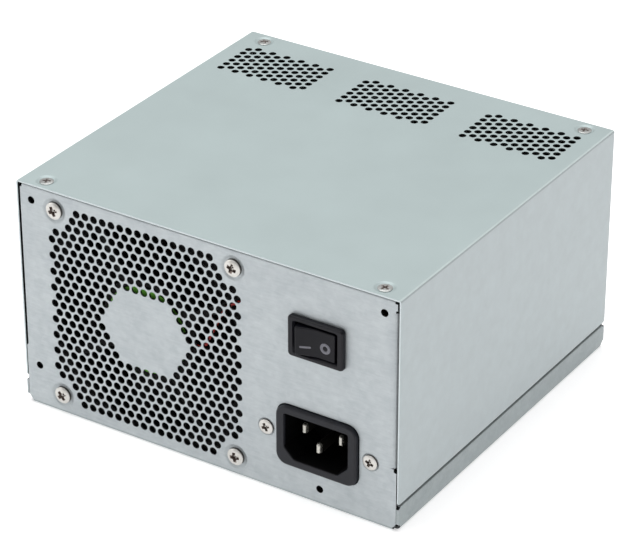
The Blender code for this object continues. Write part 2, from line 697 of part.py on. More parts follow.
def rocker_outline():
    """The rocker in its middle position, seen along its axis: x, and y towards the panel's inside.

    Each half of its face lies level with the panel when its own side is pressed.
    """
    tip = turned_points([(ROCKER_REACH, ROCKER_FACE)], ROCKER_TILT)[0]
    heel = turned_points([(ROCKER_REACH, 0)], -ROCKER_TILT)[0]
    middle = (0.0, ROCKER_FACE / math.cos(ROCKER_TILT))
    half = [(0.0, -ROCKER_BELLY), heel, tip]
    points = half + [middle] + [(-u, v) for u, v in half[:0:-1]]
    return [(u, -v) for u, v in points]


def make_switch():
    outline = rectangle(0, 0, SWITCH_WIDTH, SWITCH_HEIGHT)
    front = BEZEL_FRONT / 2
    housing = prism_object("switch_housing", outline, front, SWITCH_BACK, "Y", "black_plastic", SWITCH)
    bezel = rounded(0, 0, BEZEL_WIDTH, BEZEL_HEIGHT, BEZEL_CORNER, 2)
    join(housing, "bezel", lambda bm: add_prism(bm, bezel, BEZEL_FRONT, -GAP, "Y"))
    window = rectangle(0, 0, WINDOW_WIDTH, WINDOW_HEIGHT)
    cut(housing, "window", lambda bm: add_prism(bm, window, 2 * BEZEL_FRONT, WINDOW_FLOOR, "Y"))
    pivot = small_circle(0, PIVOT_DEPTH, ROCKER_PIN + GAP)
    bore = SWITCH_HEIGHT / 2 + 0.0002
    cut(housing, "pivot", lambda bm: add_prism(bm, pivot, -bore, bore))

    room = 2 * GAP

    def build_terminal_slots(bm):
        for side in (-1, 1):
            slot = rectangle(side * TERMINAL_X, 0, TERMINAL_THICK + room, TERMINAL_HEIGHT + room)
            add_prism(bm, slot, SWITCH_BACK - TERMINAL_DEPTH, SWITCH_BACK + TERMINAL_DEPTH, "Y")

    cut(housing, "terminal_slots", build_terminal_slots)
    for number, side in enumerate((-1, 1), 1):
        blade = rectangle(side * TERMINAL_X, 0, TERMINAL_THICK, TERMINAL_HEIGHT)
        start = SWITCH_BACK - TERMINAL_DEPTH + GAP
        prism_object(f"switch_terminal_{number}", blade, start, TERMINAL_END, "Y", "brass", SWITCH)
    rested = turned_points(rocker_outline(), ROCKER_TILT)  # its right half is pressed in
    half = WINDOW_HEIGHT / 2 - GAP
    place = SWITCH + Vector((0, PIVOT_DEPTH, 0))
    rocker = prism_object("switch_rocker", rested, -half, half, "Z", "rocker_plastic", place)
    reach = SWITCH_HEIGHT / 2 - GAP
    join(rocker, "pin", lambda bm: add_prism(bm, small_circle(0, 0, ROCKER_PIN), -reach, reach))


# Circuit board


def make_board():
    middle = (BOARD_REAR + BOARD_FRONT) / 2
    outline = rectangle(0, middle, BOARD_WIDTH, BOARD_FRONT - BOARD_REAR)
    board = prism_object("main_board", outline, BOARD_LOW, BOARD_LOW + BOARD_THICK, "Z", "laminate")
    sheet = prism_object("insulator_sheet", outline, SHEET + GAP, SHEET + 2 * GAP, "Z", "film")

    def build_holes(bm, radius):
        for x, y in BOARD_SCREWS:
            add_prism(bm, small_circle(x, y, radius), 0, 2 * SEAT)

    cut(board, "screw_holes", lambda bm: build_holes(bm, BOSS_HOLE))
    cut(sheet, "boss_holes", lambda bm: build_holes(bm, BOSS_RADIUS + 2 * GAP))


def make_heatsink(name, x):
    """An upright plate whose top carries fins to both sides, extruded along the airflow."""
    spine, reach, tall = 0.0015, 0.0095, 0.053  # half the plate's thickness, half the fins' width, height
    fin, pitch, first, fins = 0.0015, 0.004, 0.037, 4
    right = [(spine, 0)]
    for number in range(fins):
        low = first + number * pitch
        right += [(spine, low), (reach, low), (reach, low + fin), (spine, low + fin)]
    outline = mirrored(right + [(spine, tall)])
    prism_object(name, outline, *HEATSINK_SPAN, "Y", "aluminium", (x, 0, SEAT))


def toroid_profile(inner, outer, height):
    chamfer = 0.002
    half = height / 2
    ring = [
        (inner, chamfer - half),
        (inner + chamfer, -half),
        (outer - chamfer, -half),
        (outer, chamfer - half),
        (outer, half - chamfer),
        (outer - chamfer, half),
        (inner + chamfer, half),
        (inner, half - chamfer),
    ]
    return ring + ring[:1]


def make_blocks():
    for name, (x, y, width, depth, height, corner, finish) in BLOCKS.items():
        outline = rounded(0, 0, width, depth, corner, 2) if corner else rectangle(0, 0, width, depth)
        prism_object(name, outline, 0, height, "Z", finish, (x, y, SEAT))


def make_transformer(name, x, y, core, winding):
    width, depth, low, high = core
    transformer = prism_object(name, rectangle(0, 0, width, depth), low, high, "Z", "tape", (x, y, SEAT))
    width, depth, low, high, corner = winding
    outline = rounded(0, 0, width, depth, corner, 2)
    join(transformer, "winding", lambda bm: add_prism(bm, outline, low, high))


def make_choke(name, x, y, radius, length, axis):
    middle = SEAT + (length / 2 if axis == "Z" else radius)
    turned_object(name, toroid_profile(CHOKE_BORE, radius, length), 14, axis, "copper", (x, y, middle))


def make_capacitor(name, x, y, radius, height, sides):
    rim = 0.001
    profile = [(0, 0), (radius, 0), (radius, height - rim), (radius - rim, height), (0, height)]
    turned_object(name, profile, sides, "Z", "sleeve", (x, y, SEAT))


def make_fuse():
    x, y, radius, half = FUSE
    profile = [(0, -half), (radius, -half), (radius, half), (0, half)]
    turned_object("fuse", profile, 12, "X", "fuse_ceramic", (x, y, SEAT + radius))


def make_board_parts():
    make_heatsink("primary_heatsink", PRIMARY_X)
    make_heatsink("secondary_heatsink", SECONDARY_X)
    make_blocks()
    for name, sizes in TRANSFORMERS.items():
        make_transformer(name, *sizes)
    for name, sizes in CHOKES.items():
        make_choke(name, *sizes)
    for name, sizes in CAPACITORS.items():
        make_capacitor(name, *sizes)
    make_fuse()


# Leads that the case holds all the way


def smooth_points(points, steps):
    """Points on a Catmull-Rom curve through the given ones."""
    ends = [2 * points[0] - points[1]] + points + [2 * points[-1] - points[-2]]
    made = []
    for a, b, c, d in zip(ends, ends[1:], ends[2:], ends[3:]):
        bend, twist = 2 * a - 5 * b + 4 * c - d, 3 * b - a - 3 * c + d
        for step in range(steps):
            t = step / steps
            made.append(0.5 * (2 * b + (c - a) * t + bend * t**2 + twist * t**3))
    return made + [points[-1]]


def make_lead(name, radius, finish, route):
    curve = bpy.data.curves.new(name, "CURVE")
    curve.dimensions = "3D"
    curve.bevel_depth = radius
    curve.bevel_resolution = 1
    curve.use_fill_caps = True
    points = smooth_points([Vector(point) for point in route], 2)
    spline = curve.splines.new("POLY")
    spline.points.add(len(points) - 1)
    for knot, point in zip(spline.points, points):
        knot.co = (*point, 1)
    curve.materials.append(material(finish))
    obj = bpy.data.objects.new(name, curve)
    bpy.context.scene.collection.objects.link(obj)


def make_leads():
    for name, (radius, finish, route) in LEADS.items():
        make_lead(name, radius, finish, route)
    front = FAN.y - FAN_DEPTH / 2 + 0.0007  # in the channel of the fan's frame
    start = []
    for reach, angle in FAN_LEAD_START:
        turn = math.radians(angle)
        start.append(Vector((FAN.x + reach * math.cos(turn), front, FAN.z + reach * math.sin(turn))))
    make_lead("fan_lead", FAN_WIRE, "red_wire", start + FAN_LEAD_ROUTE)


def make_grommet():
    """A plastic ring through the front wall that keeps the output cables off the sheet's edge."""
    lip = 2 * GROMMET_LIP
    flange = rounded(0, 0, OUTLET_WIDTH + lip, OUTLET_HEIGHT + lip, OUTLET_CORNER + GROMMET_LIP)
    grommet = prism_object("cable_grommet", flange, GAP, GROMMET_FRONT, "Y", "black_plastic", OUTLET)
    sleeve = rounded(0, 0, OUTLET_WIDTH, OUTLET_HEIGHT, OUTLET_CORNER)
    join(grommet, "sleeve", lambda bm: add_prism(bm, sleeve, GROMMET_BACK, GROMMET_FRONT / 2, "Y"))
    walls = 2 * GROMMET_WALL
    opening = rounded(0, 0, OUTLET_WIDTH - walls, OUTLET_HEIGHT - walls, OUTLET_CORNER / 2)
    cut(grommet, "opening", lambda bm: add_prism(bm, opening, 2 * GROMMET_BACK, 2 * GROMMET_FRONT, "Y"))


def main():
    clear_scene()
    make_tray()
    make_cover()
    make_screws()
    make_fan()
    make_inlet()
    make_switch()
    make_board()
    make_board_parts()
    make_leads()
    make_grommet()


main()
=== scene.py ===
"""The looks of a desktop power supply unit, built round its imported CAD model.

Fine sheet metal, screws, the mains inlet and the switch replace their plain CAD solids. Metres, +Z up.
"""

import json
import math

import bmesh
import bpy
from mathutils import Matrix, Vector
from mathutils.geometry import delaunay_2d_cdt


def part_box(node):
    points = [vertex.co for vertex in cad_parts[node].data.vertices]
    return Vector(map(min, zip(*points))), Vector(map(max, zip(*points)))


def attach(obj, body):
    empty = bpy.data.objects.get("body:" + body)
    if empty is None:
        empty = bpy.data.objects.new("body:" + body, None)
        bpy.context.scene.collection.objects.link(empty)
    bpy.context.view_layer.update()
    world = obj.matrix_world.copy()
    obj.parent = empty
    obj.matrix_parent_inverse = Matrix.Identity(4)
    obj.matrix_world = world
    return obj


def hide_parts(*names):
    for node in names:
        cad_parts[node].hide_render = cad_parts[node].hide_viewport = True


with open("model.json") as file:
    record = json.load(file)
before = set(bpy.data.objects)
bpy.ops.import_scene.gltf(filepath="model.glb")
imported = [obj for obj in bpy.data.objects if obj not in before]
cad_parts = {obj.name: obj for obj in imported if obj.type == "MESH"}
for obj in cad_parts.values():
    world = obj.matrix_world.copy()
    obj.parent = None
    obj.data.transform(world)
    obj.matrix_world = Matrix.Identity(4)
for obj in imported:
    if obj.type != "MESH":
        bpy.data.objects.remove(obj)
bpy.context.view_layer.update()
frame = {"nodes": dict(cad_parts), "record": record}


def corners(node):
    """The low and the high corner of a CAD node's box."""
    return tuple(Vector(corner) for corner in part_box(node))


def middle(node):
    low, high = corners(node)
    return (low + high) / 2


# Places in the case, from the frame
TRAY_LOW, TRAY_HIGH = corners("tray")
SIDE = TRAY_HIGH.x
REAR, FRONT = TRAY_LOW.y, TRAY_HIGH.y
TOP = corners("cover")[1].z
FAN, INLET, SWITCH = middle("fan_frame"), middle("inlet_housing"), middle("switch_housing")
FAN_SCREWS = [f"fan_screw_{number}" for number in range(1, 5)]
INLET_SCREWS = [f"inlet_screw_{number}" for number in (1, 2)]
COVER_SCREWS = [f"cover_screw_{number}" for number in range(1, 5)]

# Used all over
GAP = 0.0003
SOFT_EDGE = 0.00010  # width of the rounding of every cut edge
ROUND_SIDES = 32  # sides of a circle
SQUARE = ((-1, -1), (1, -1), (1, 1), (-1, 1))

# The sheets and the cover's folds
SHEET, COVER_SHEET = 0.0008, 0.0006
COVER_LOW, COVER_BEND, COVER_CHAMFER = 0.0103, 0.0008, 0.0006

# The tray's folds
FOLD, TOP_FOLD = 0.0012, 0.0007  # outer radii of the panels' folds, at the floor and at the top
FOLD_END = 0.0728  # the folds of the panels reach this far from the middle
PANEL_SIDE, PANEL_TOP, PANEL_CORNER = 0.0741, 0.0853, 0.0028
NOTCH, CHAMFER = 0.0010, 0.0006
RELIEF, STEP = 0.0012, 0.0002  # the notches past the ends of the right flange, and small steps in an edge
LEFT_DROP, CORNER_DROP = 0.0004, 0.0009  # from the left flange's lower end to the edge that slopes out below
FLANGE_END = 0.060  # the top flanges reach in to this distance from the middle
FLANGE_LOW, FLANGE_HIGH = 0.0236, 0.0808  # ends of the rear panel's side flanges
RIGHT_FLANGE, LEFT_FLANGE, FLANGE_FOLD, FLANGE_REACH = 0.0740, -0.0735, 0.0025, 0.009
SKIRT_TOP, SKIRT_FOLD, SKIRT_CORNER = 0.0089, 0.0018, 0.0030
LAP_SIDE, LAP_TOP, LAP_END = 0.0737, 0.0232, 0.0686  # the step behind the cover's lower edge

# Holes
VENT_RADIUS, GRILLE_RADIUS, VENT_PITCH, VENT_SIDES = 0.00133, 0.00140, 0.00355, 16
VENT_ROW = VENT_PITCH * math.sqrt(3) / 2
GRILLE_ROWS, GRILLE_COLUMNS, BLANK_ROWS = 12, 22, 4  # rows above and below the middle one
FAN_SCREW, SCREW_CLEAR = 0.03575, 0.0065
TOP_VENT_X, TOP_VENT_Y = (-0.050, 0.0, 0.050), 0.0482
TOP_VENT_COLUMNS, TOP_VENT_HOLES = 12, 6
ATX_HOLES = ((-0.069, 0.080), (-0.069, 0.016), (0.069, 0.080), (0.045, 0.006))
ATX_RADIUS = 0.00135
SLOT_WIDTH, SLOT_LOW, SLOT_HIGH, SLOT_PITCH, SLOTS, SLOT_CORNER = 0.0032, 0.026, 0.060, 0.008, 10, 0.0015
OUTLET_WIDTH, OUTLET_HEIGHT, OUTLET_CORNER = 0.0286, 0.0186, 0.0043

# Depressions round the screws: radius and depth of each ring
FAN_DIMPLE = ((0.0048, 0), (0.0045, 0.00006), (0.0039, 0.00042), (0.0036, 0.0005), (0.0021, 0.0005))
INLET_DIMPLE = ((0.0034, 0), (0.0032, 0.00006), (0.0030, 0.0003), (0.0021, 0.0003))
COVER_DIMPLE = ((0.0038, 0), (0.0035, 0.00006), (0.0030, 0.00044), (0.0028, 0.0005), (0.0018, 0.0005))
FLANGE_DIMPLE = ((0.0034, 0), (0.0030, 0.0006), (0.0018, 0.0006))
BOARD_DIMPLE = ((0.0042, 0), (0.0038, 0.00006), (0.0030, 0.0006), (0.0026, 0.0007), (0.0016, 0.0007))
BOARD_SCREWS = ((-0.064, -0.037), (0.064, -0.037), (-0.064, 0.057), (0.064, 0.057))

# Screws: radius of the head, height of its side and of its dome; reach, half width and depth of its recess
FAN_HEAD, FAN_RECESS = (0.0031, 0.0008, 0.0007), (0.0019, 0.00066, 0.0012)
INLET_HEAD, INLET_RECESS = (0.0027, 0.0005, 0.0005), (0.0016, 0.00052, 0.0009)
COVER_HEAD, COVER_RECESS = (0.00245, 0.0002, 0.0002), (0.0015, 0.00045, 0.0008)
FAN_LENGTH, INLET_LENGTH, COVER_LENGTH = 0.0075, 0.0050, 0.0055
FAN_SINK, INLET_SINK, COVER_SINK = 0.00045, 0.00025, 0.00045  # depth of the head's underside in the sheet
SHANK, SCREW_HOLE = 0.0016, 0.0020
DOME_TURNS = (0, 12, 30, 50, 70, 82)
SCREW_TURNS = [math.radians(angle) for angle in (24, 71, 38, 8, 55)]

# Mains inlet and switch
COLLAR, COLLAR_CORNER, COLLAR_FRONT = Vector((0.031, 0, 0.0225)), 0.004, 0.0015
CAVITY_WIDTH, CAVITY_HEIGHT, CAVITY_CHAMFER, CAVITY_FLOOR = 0.0242, 0.0165, 0.004, 0.0145
PLATE_WIDTH, PLATE_HEIGHT, PLATE_CORNER, PLATE_NEAR, PLATE_FAR = 0.050, 0.019, 0.005, 0.0013, 0.0043
CAVITY_ROUND, CAVITY_DRAFT = 0.0006, 0.0002
PIN_NODES = ("inlet_pin_live", "inlet_pin_neutral", "inlet_pin_earth")
# The blades are painted darker as shade behind their bright tips.
PIN_CORNER, PIN_BRIGHT = 0.0008, 0.0010  # the tips are bright over this length
BODY_WIDTH, BODY_HEIGHT, BODY_CORNER = 0.019, 0.013, 0.0005
BEZEL_WIDTH, BEZEL_HEIGHT, BEZEL_CORNER, BEZEL_FRONT = 0.021, 0.015, 0.0014, 0.002
WINDOW_WIDTH, WINDOW_HEIGHT, WINDOW_FLOOR = 0.0157, 0.0108, 0.0063
ROCKER_TILT = math.radians(8)
ROCKER_FACE, ROCKER_REACH, ROCKER_BELLY, PIVOT_DEPTH = 0.0022, 0.0074, 0.003, 0.0004
ROCKER_EDGE = 0.0004
LEGEND_RISE, LEGEND_ROOT = 0.00003, 0.0001
DASH_WIDTH, DASH_HEIGHT, DASH_CORNER, DASH_TURN = 0.0039, 0.0007, 0.0003, math.radians(5)
RING_RADIUS, RING_HOLE = 0.00195, 0.0009
DASH_PLACE, RING_PLACE = -0.0019, -0.0008  # heights above the middle of the rocker
GROMMET_LIP, GROMMET_WALL = 0.0025, 0.003
GROMMET_CORNER, SLEEVE_CORNER, OPENING_CORNER = 0.0065, 0.004, 0.003

# Edges rounded in steps: how far behind the front face, and how far in from the outline
COLLAR_EDGE = ((0.0008, 0), (0.00035, 0.00012), (0.0001, 0.0004), (0, 0.0008))
CAVITY_EDGE = ((-COLLAR_FRONT, 0.0010), (0.0003, 0.0002), (0.0008, 0))
PIN_EDGE = ((0.0013, 0), (0.0005, 0.0002), (0.0001, 0.0005), (0, 0.0007))
BEZEL_EDGE = ((0.0008, 0), (0.0004, 0.00012), (0.0001, 0.0004), (0, 0.0008))
WINDOW_EDGE = ((-BEZEL_FRONT, -0.0030), (0.0001, -0.0006), (0.0010, 0))
GROMMET_EDGE = ((0.0009, 0), (0.0004, 0.00015), (0.0001, 0.0005), (0, 0.0009))
OPENING_EDGE = ((0.0012, 0), (0.0003, -0.0003), (-SHEET, -0.0016))

# Colours, as 8-bit sRGB
TRAY_LIGHT, TRAY_DARK = (197, 203, 205), (167, 174, 178)
# The skirts' colours: the tray's galvanised sheet painted darker as the shade on the tray's sides and lower
# folds.
SHADED_SKIRT_LIGHT, SHADED_SKIRT_DARK = (172, 180, 181), (146, 155, 157)
# The cover's sides: the top's coating, painted darker and less green as the shade on the sides.
COVER_TOP, COVER_SIDE_SHADED = (188, 202, 202), (184, 193, 195)
# The cover's bends: a painted highlight on their upper half and painted shade on their lower half.
BEND_HIGHLIGHT, BEND_SHADE = (204, 217, 216), (168, 177, 179)

# Light and view
WORLD_STRENGTH = 0.33
FLOOR_REACH, FLOOR_GLOW = 6.0, 0.46  # the floor is a light table
# Name, place, size, power and colour
LIGHTS = (
    ("ceiling", (-0.3, 0.1, 1.6), (1.6, 1.6), 20.2, (1.0, 1.0, 1.0)),
    ("left", (-1.3, -1.0, 0.6), (0.9, 0.9), 5.3, (1.0, 1.0, 1.0)),
    ("right", (1.5, 0.5, 0.8), (0.9, 0.9), 1.2, (1.0, 0.84, 0.88)),
    ("back", (0.75, 1.15, 0.75), (0.5, 0.5), 3.2, (1.0, 0.98, 0.98)),
)
LIGHT_TARGET = Vector((0, 0, 0.04))
AZIMUTH, ELEVATION = math.radians(32.82), math.radians(29.48)
DISTANCE, RAISE, LENS = 1.0471, 0.03255, 167.6


# Outlines and skins


def circle(u, v, radius, sides=ROUND_SIDES):
    """A circle's points, counter-clockwise."""
    turns = [(side + 0.5) * 2 * math.pi / sides for side in range(sides)]
    return [(u + radius * math.cos(turn), v + radius * math.sin(turn)) for turn in turns]


def rounded(u, v, width, height, radius, steps=6):
    """A rectangle with round corners, counter-clockwise."""
    points = []
    for quarter, (a, b) in enumerate(((1, 1), (-1, 1), (-1, -1), (1, -1))):
        for step in range(steps + 1):
            angle = (quarter + step / steps) * math.pi / 2
            x = u + a * (width / 2 - radius) + radius * math.cos(angle)
            y = v + b * (height / 2 - radius) + radius * math.sin(angle)
            points.append((x, y))
    return points


def arc(u, v, radius, start, end, steps=5):
    """Points on an arc, with its angles in degrees."""
    turns = [math.radians(start + (end - start) * step / steps) for step in range(steps + 1)]
    return [(u + radius * math.cos(turn), v + radius * math.sin(turn)) for turn in turns]


def rear_plane(u, v, depth=0.0):
    return Vector((u, REAR + depth, v))


def front_plane(u, v, depth=0.0):
    return Vector((-u, FRONT - depth, v))


def top_plane(u, v, depth=0.0):
    return Vector((u, v, TOP - depth))


def flange_plane(u, v, depth=0.0):
    return Vector((u, v, PANEL_TOP - depth))


def floor_plane(u, v, depth=0.0):
    return Vector((u, -v, depth))


def right_plane(u, v, depth=0.0):
    return Vector((SIDE - depth, u, v))


def left_plane(u, v, depth=0.0):
    return Vector((depth - SIDE, -u, v))


def add_plate(bm, place, outline, holes=(), material=0):
    """A flat skin with holes, cut into triangles. place turns its (u, v) into points of the case."""
    points, loops = [], []
    for loop in (outline, *holes):
        loops.append(list(range(len(points), len(points) + len(loop))))
        points += [Vector(point) * 1000 for point in loop]
    made = delaunay_2d_cdt(points, [], loops, 2, 1e-4)
    verts = [bm.verts.new(place(point.x / 1000, point.y / 1000)) for point in made[0]]
    for triangle in made[2]:
        bm.faces.new([verts[index] for index in triangle]).material_index = material


def add_rows(bm, rows, closed=False, material=0):
    """Quads between rows of points."""
    made = [[bm.verts.new(point) for point in row] for row in rows]
    for near, far in zip(made, made[1:]):
        count = len(near)
        for index in range(count if closed else count - 1):
            other = (index + 1) % count
            bm.faces.new((near[index], near[other], far[other], far[index])).material_index = material


def add_dimple(bm, place, u, v, rings):
    """A pressed depression that ends in a hole. Returns its outline, to leave free in the sheet round it."""
    rows = [[place(a, b, depth) for a, b in circle(u, v, radius)] for radius, depth in rings]
    add_rows(bm, rows, closed=True)
    return circle(u, v, rings[0][0])


def add_fold(bm, path, start, end, material=0):
    """A fold or a strip: a path of points, as a function of the third coordinate, from start to end."""
    add_rows(bm, [[point(start), point(end)] for point in path], material=material)


# Objects


def add_object(name, mesh, *materials):
    obj = bpy.data.objects.new(name, mesh)
    for material in materials:
        obj.data.materials.append(material)
    bpy.context.scene.collection.objects.link(obj)
    return obj


def evaluated_mesh(obj):
    """The object's mesh with its modifiers applied."""
    graph = bpy.context.evaluated_depsgraph_get()
    mesh = bpy.data.meshes.new_from_object(obj.evaluated_get(graph))
    obj.modifiers.clear()
    return mesh


def weigh_normals(obj, sharp=None):
    """Keeps flat faces flat and shades the narrow faces at their edges smoothly.

    An edge that turns by more than sharp, in degrees, stays sharp.
    """
    obj.data.shade_smooth()
    modifier = obj.modifiers.new("weighted_normals", "WEIGHTED_NORMAL")
    modifier.keep_sharp = True
    if sharp:
        obj.data.set_sharp_from_angle(angle=math.radians(sharp))


def bevel_edges(bm, width, segments=2, least=math.radians(50)):
    """Rounds the edges that turn by more than the least angle."""
    edges = [edge for edge in bm.edges if edge.is_manifold and edge.calc_face_angle() > least]
    bmesh.ops.bevel(bm, geom=edges, offset=width, segments=segments, profile=0.5, affect="EDGES")


def sheet_object(name, bm, thickness, materials):
    """Gives a skin the sheet's thickness, inwards, and softens its cut edges.

    The last material is that of its inside and its cut edges, and the one before it that of the cut edges
    in the rear panel's plane.
    """
    bmesh.ops.remove_doubles(bm, verts=bm.verts, dist=1e-6)
    mesh = bpy.data.meshes.new(name)
    bm.to_mesh(mesh)
    bm.free()
    obj = add_object(name, mesh, *materials)
    modifier = obj.modifiers.new("thickness", "SOLIDIFY")
    modifier.thickness = thickness
    modifier.offset = -1
    modifier.use_even_offset = True
    last = len(materials) - 1
    modifier.material_offset = last
    modifier.material_offset_rim = last
    solid = bmesh.new()
    solid.from_mesh(evaluated_mesh(obj))
    for face in solid.faces:
        in_rear_plane = face.normal.y < -0.9 and face.calc_center_median().y < REAR + 1e-5
        if in_rear_plane and face.material_index == last:
            face.material_index = last - 1
    bevel_edges(solid, SOFT_EDGE)
    for vert in solid.verts:
        vert.co.x = min(max(vert.co.x, -SIDE), SIDE)
    solid.to_mesh(mesh)
    solid.free()
    weigh_normals(obj)
    return obj


# Case


def grille_holes():
    """Centres (x, z) of the fan grille's holes, round a plain hexagon."""
    holes = []
    for row in range(-GRILLE_ROWS, GRILLE_ROWS + 1):
        count = GRILLE_COLUMNS - row % 2
        half_blank = (BLANK_ROWS + 0.5 - abs(row) / 2) * VENT_PITCH + GAP
        for place in range(count):
            x = (place - (count - 1) / 2) * VENT_PITCH
            z = row * VENT_ROW
            blank = abs(row) <= BLANK_ROWS and abs(x) < half_blank
            near_screw = math.hypot(abs(x) - FAN_SCREW, abs(z) - FAN_SCREW) < SCREW_CLEAR
            if not blank and not near_screw:
                holes.append((FAN.x + x, FAN.z + z))
    return holes


def top_holes():
    """Centres (x, y) of the cover's vent holes, in three groups of staggered columns."""
    holes = []
    for group in TOP_VENT_X:
        for column in range(TOP_VENT_COLUMNS):
            x = group + (column - (TOP_VENT_COLUMNS - 1) / 2) * VENT_ROW
            stagger = (0.25 if column % 2 else -0.25) * VENT_PITCH
            for place in range(TOP_VENT_HOLES):
                y = TOP_VENT_Y + stagger + (place - (TOP_VENT_HOLES - 1) / 2) * VENT_PITCH
                holes.append((x, y))
    return holes


def panel_outline():
    """The rear panel's flat part (x, z), with the notches at its corners and beside its side flanges."""
    low, high = FOLD, PANEL_TOP - TOP_FOLD
    notch = PANEL_SIDE - NOTCH
    right = [
        (FOLD_END, low),
        (PANEL_SIDE - CHAMFER, low + CHAMFER),
        (PANEL_SIDE, PANEL_CORNER),
        (PANEL_SIDE, FLANGE_LOW - RELIEF - STEP),
        (notch, FLANGE_LOW - RELIEF),
        (notch, FLANGE_LOW),
        (RIGHT_FLANGE - FLANGE_FOLD, FLANGE_LOW),
        (RIGHT_FLANGE - FLANGE_FOLD, FLANGE_HIGH),
        (notch, FLANGE_HIGH),
        (notch, FLANGE_HIGH + NOTCH),
        (PANEL_SIDE - GAP, FLANGE_HIGH + RELIEF),
        (PANEL_SIDE - GAP, high - STEP),
        (FOLD_END, high - STEP),
        (FOLD_END, high),
    ]
    left = [
        (-FOLD_END, high),
        (-FOLD_END, high - CHAMFER),
        (LEFT_FLANGE, high - CHAMFER),
        (LEFT_FLANGE, FLANGE_LOW - LEFT_DROP),
        (-PANEL_SIDE, FLANGE_LOW - CORNER_DROP),
        (-PANEL_SIDE, PANEL_CORNER),
        (-FOLD_END, low),
    ]
    return right + left


def make_panel(bm):
    """The rear panel with its grille, holes and side flanges."""
    holes = [circle(x, z, GRILLE_RADIUS, VENT_SIDES) for x, z in grille_holes()]
    holes += [circle(x, z, ATX_RADIUS) for x, z in ATX_HOLES]
    holes.append(rounded(INLET.x, INLET.z, COLLAR.x + 2 * GAP, COLLAR.z + 2 * GAP, COLLAR_CORNER + GAP))
    holes.append(rounded(SWITCH.x, SWITCH.z, BODY_WIDTH + 2 * GAP, BODY_HEIGHT + 2 * GAP, BODY_CORNER, 2))
    for nodes, rings in ((FAN_SCREWS, FAN_DIMPLE), (INLET_SCREWS, INLET_DIMPLE)):
        for node in nodes:
            place = middle(node)
            holes.append(add_dimple(bm, rear_plane, place.x, place.z, rings))
    add_plate(bm, rear_plane, panel_outline(), holes)
    path = arc(RIGHT_FLANGE - FLANGE_FOLD, REAR + FLANGE_FOLD, FLANGE_FOLD, -90, 0)
    path.append((RIGHT_FLANGE, REAR + FLANGE_REACH))
    add_fold(bm, [lambda z, x=x, y=y: Vector((x, y, z)) for x, y in path], FLANGE_HIGH, FLANGE_LOW)


def make_front_wall(bm):
    """The front wall with the cables' outlet and a row of slots."""
    outlet = middle("cable_grommet")
    holes = [rounded(-outlet.x, outlet.z, OUTLET_WIDTH, OUTLET_HEIGHT, OUTLET_CORNER)]
    for slot in range(SLOTS):
        x = (slot - 1) * SLOT_PITCH
        holes.append(rounded(-x, (SLOT_LOW + SLOT_HIGH) / 2, SLOT_WIDTH, SLOT_HIGH - SLOT_LOW, SLOT_CORNER))
    low, high = FOLD, PANEL_TOP - TOP_FOLD
    notch = high - GAP
    outline = [
        (-FOLD_END, low),
        (FOLD_END, low),
        (PANEL_SIDE, PANEL_CORNER),
        (PANEL_SIDE, notch),
        (FOLD_END, notch),
        (FOLD_END, high),
        (-FOLD_END, high),
        (-FOLD_END, notch),
        (-PANEL_SIDE, notch),
        (-PANEL_SIDE, PANEL_CORNER),
    ]
    add_plate(bm, front_plane, outline, holes)


def make_floor(bm):
    """The floor, with its corners cut out and the board screws' dimples in its underside."""
    ends, relief = FRONT - FOLD, LAP_END - GAP
    side = SIDE - SKIRT_FOLD
    quarter = [(side, relief), (FOLD_END, relief), (FOLD_END, ends)]
    half = quarter + [(-u, v) for u, v in reversed(quarter)]
    outline = half + [(-u, -v) for u, v in half]
    holes = [add_dimple(bm, floor_plane, x, -y, BOARD_DIMPLE) for x, y in BOARD_SCREWS]
    add_plate(bm, floor_plane, outline, holes)


def make_tray_folds(bm):
    """The folds between floor, panels and flanges, and the top flanges."""
    for sign in (-1, 1):
        span = (-FOLD_END, FOLD_END) if sign < 0 else (FOLD_END, -FOLD_END)
        inner = FRONT - TOP_FOLD
        low = arc(FRONT - FOLD, FOLD, FOLD, -90, 0)
        high = arc(inner, PANEL_TOP - TOP_FOLD, TOP_FOLD, 0, 90)
        # The top folds take the panels' material. The low folds at the floor take the darker skirt copy as
        # painted shade.
        for material, path in enumerate((high, low)):
            add_fold(bm, [lambda x, y=y, z=z: Vector((x, sign * y, z)) for y, z in path], *span, material)
        near, far = sorted((sign * FLANGE_END, sign * inner))
        outline = [(-FOLD_END, near), (FOLD_END, near), (FOLD_END, far), (-FOLD_END, far)]
        holes = []
        for node in COVER_SCREWS:
            place = middle(node)
            if place.y * sign > 0:
                holes.append(add_dimple(bm, flange_plane, place.x, place.y, FLANGE_DIMPLE))
        add_plate(bm, flange_plane, outline, holes)


def make_skirts(bm):
    """The tray's sides: flush with the cover below, and stepped in behind it above."""
    relief, end = LAP_END - GAP, SKIRT_TOP - GAP
    fold = arc(SIDE - SKIRT_FOLD, SKIRT_FOLD, SKIRT_FOLD, -90, 0)
    slope = [(SIDE, SKIRT_TOP), (SIDE - STEP, SKIRT_TOP + STEP), (LAP_SIDE, SKIRT_TOP + 2 * STEP)]
    step = slope + [(LAP_SIDE, LAP_TOP)]
    half = [(relief, SKIRT_FOLD), (FRONT, SKIRT_CORNER), (FRONT, end), (LAP_END, end), (LAP_END, SKIRT_TOP)]
    outline = half + [(-u, v) for u, v in reversed(half)]
    # The skirts take the tray's second material, the darker copy that paints the shade on the tray's sides.
    for sign, plane in ((1, right_plane), (-1, left_plane)):
        for points, reach in ((fold, relief), (step, LAP_END)):
            path = [lambda y, x=x, z=z: Vector((sign * x, y, z)) for x, z in points]
            add_fold(bm, path, -sign * reach, sign * reach, 1)
        add_plate(bm, plane, outline, material=1)


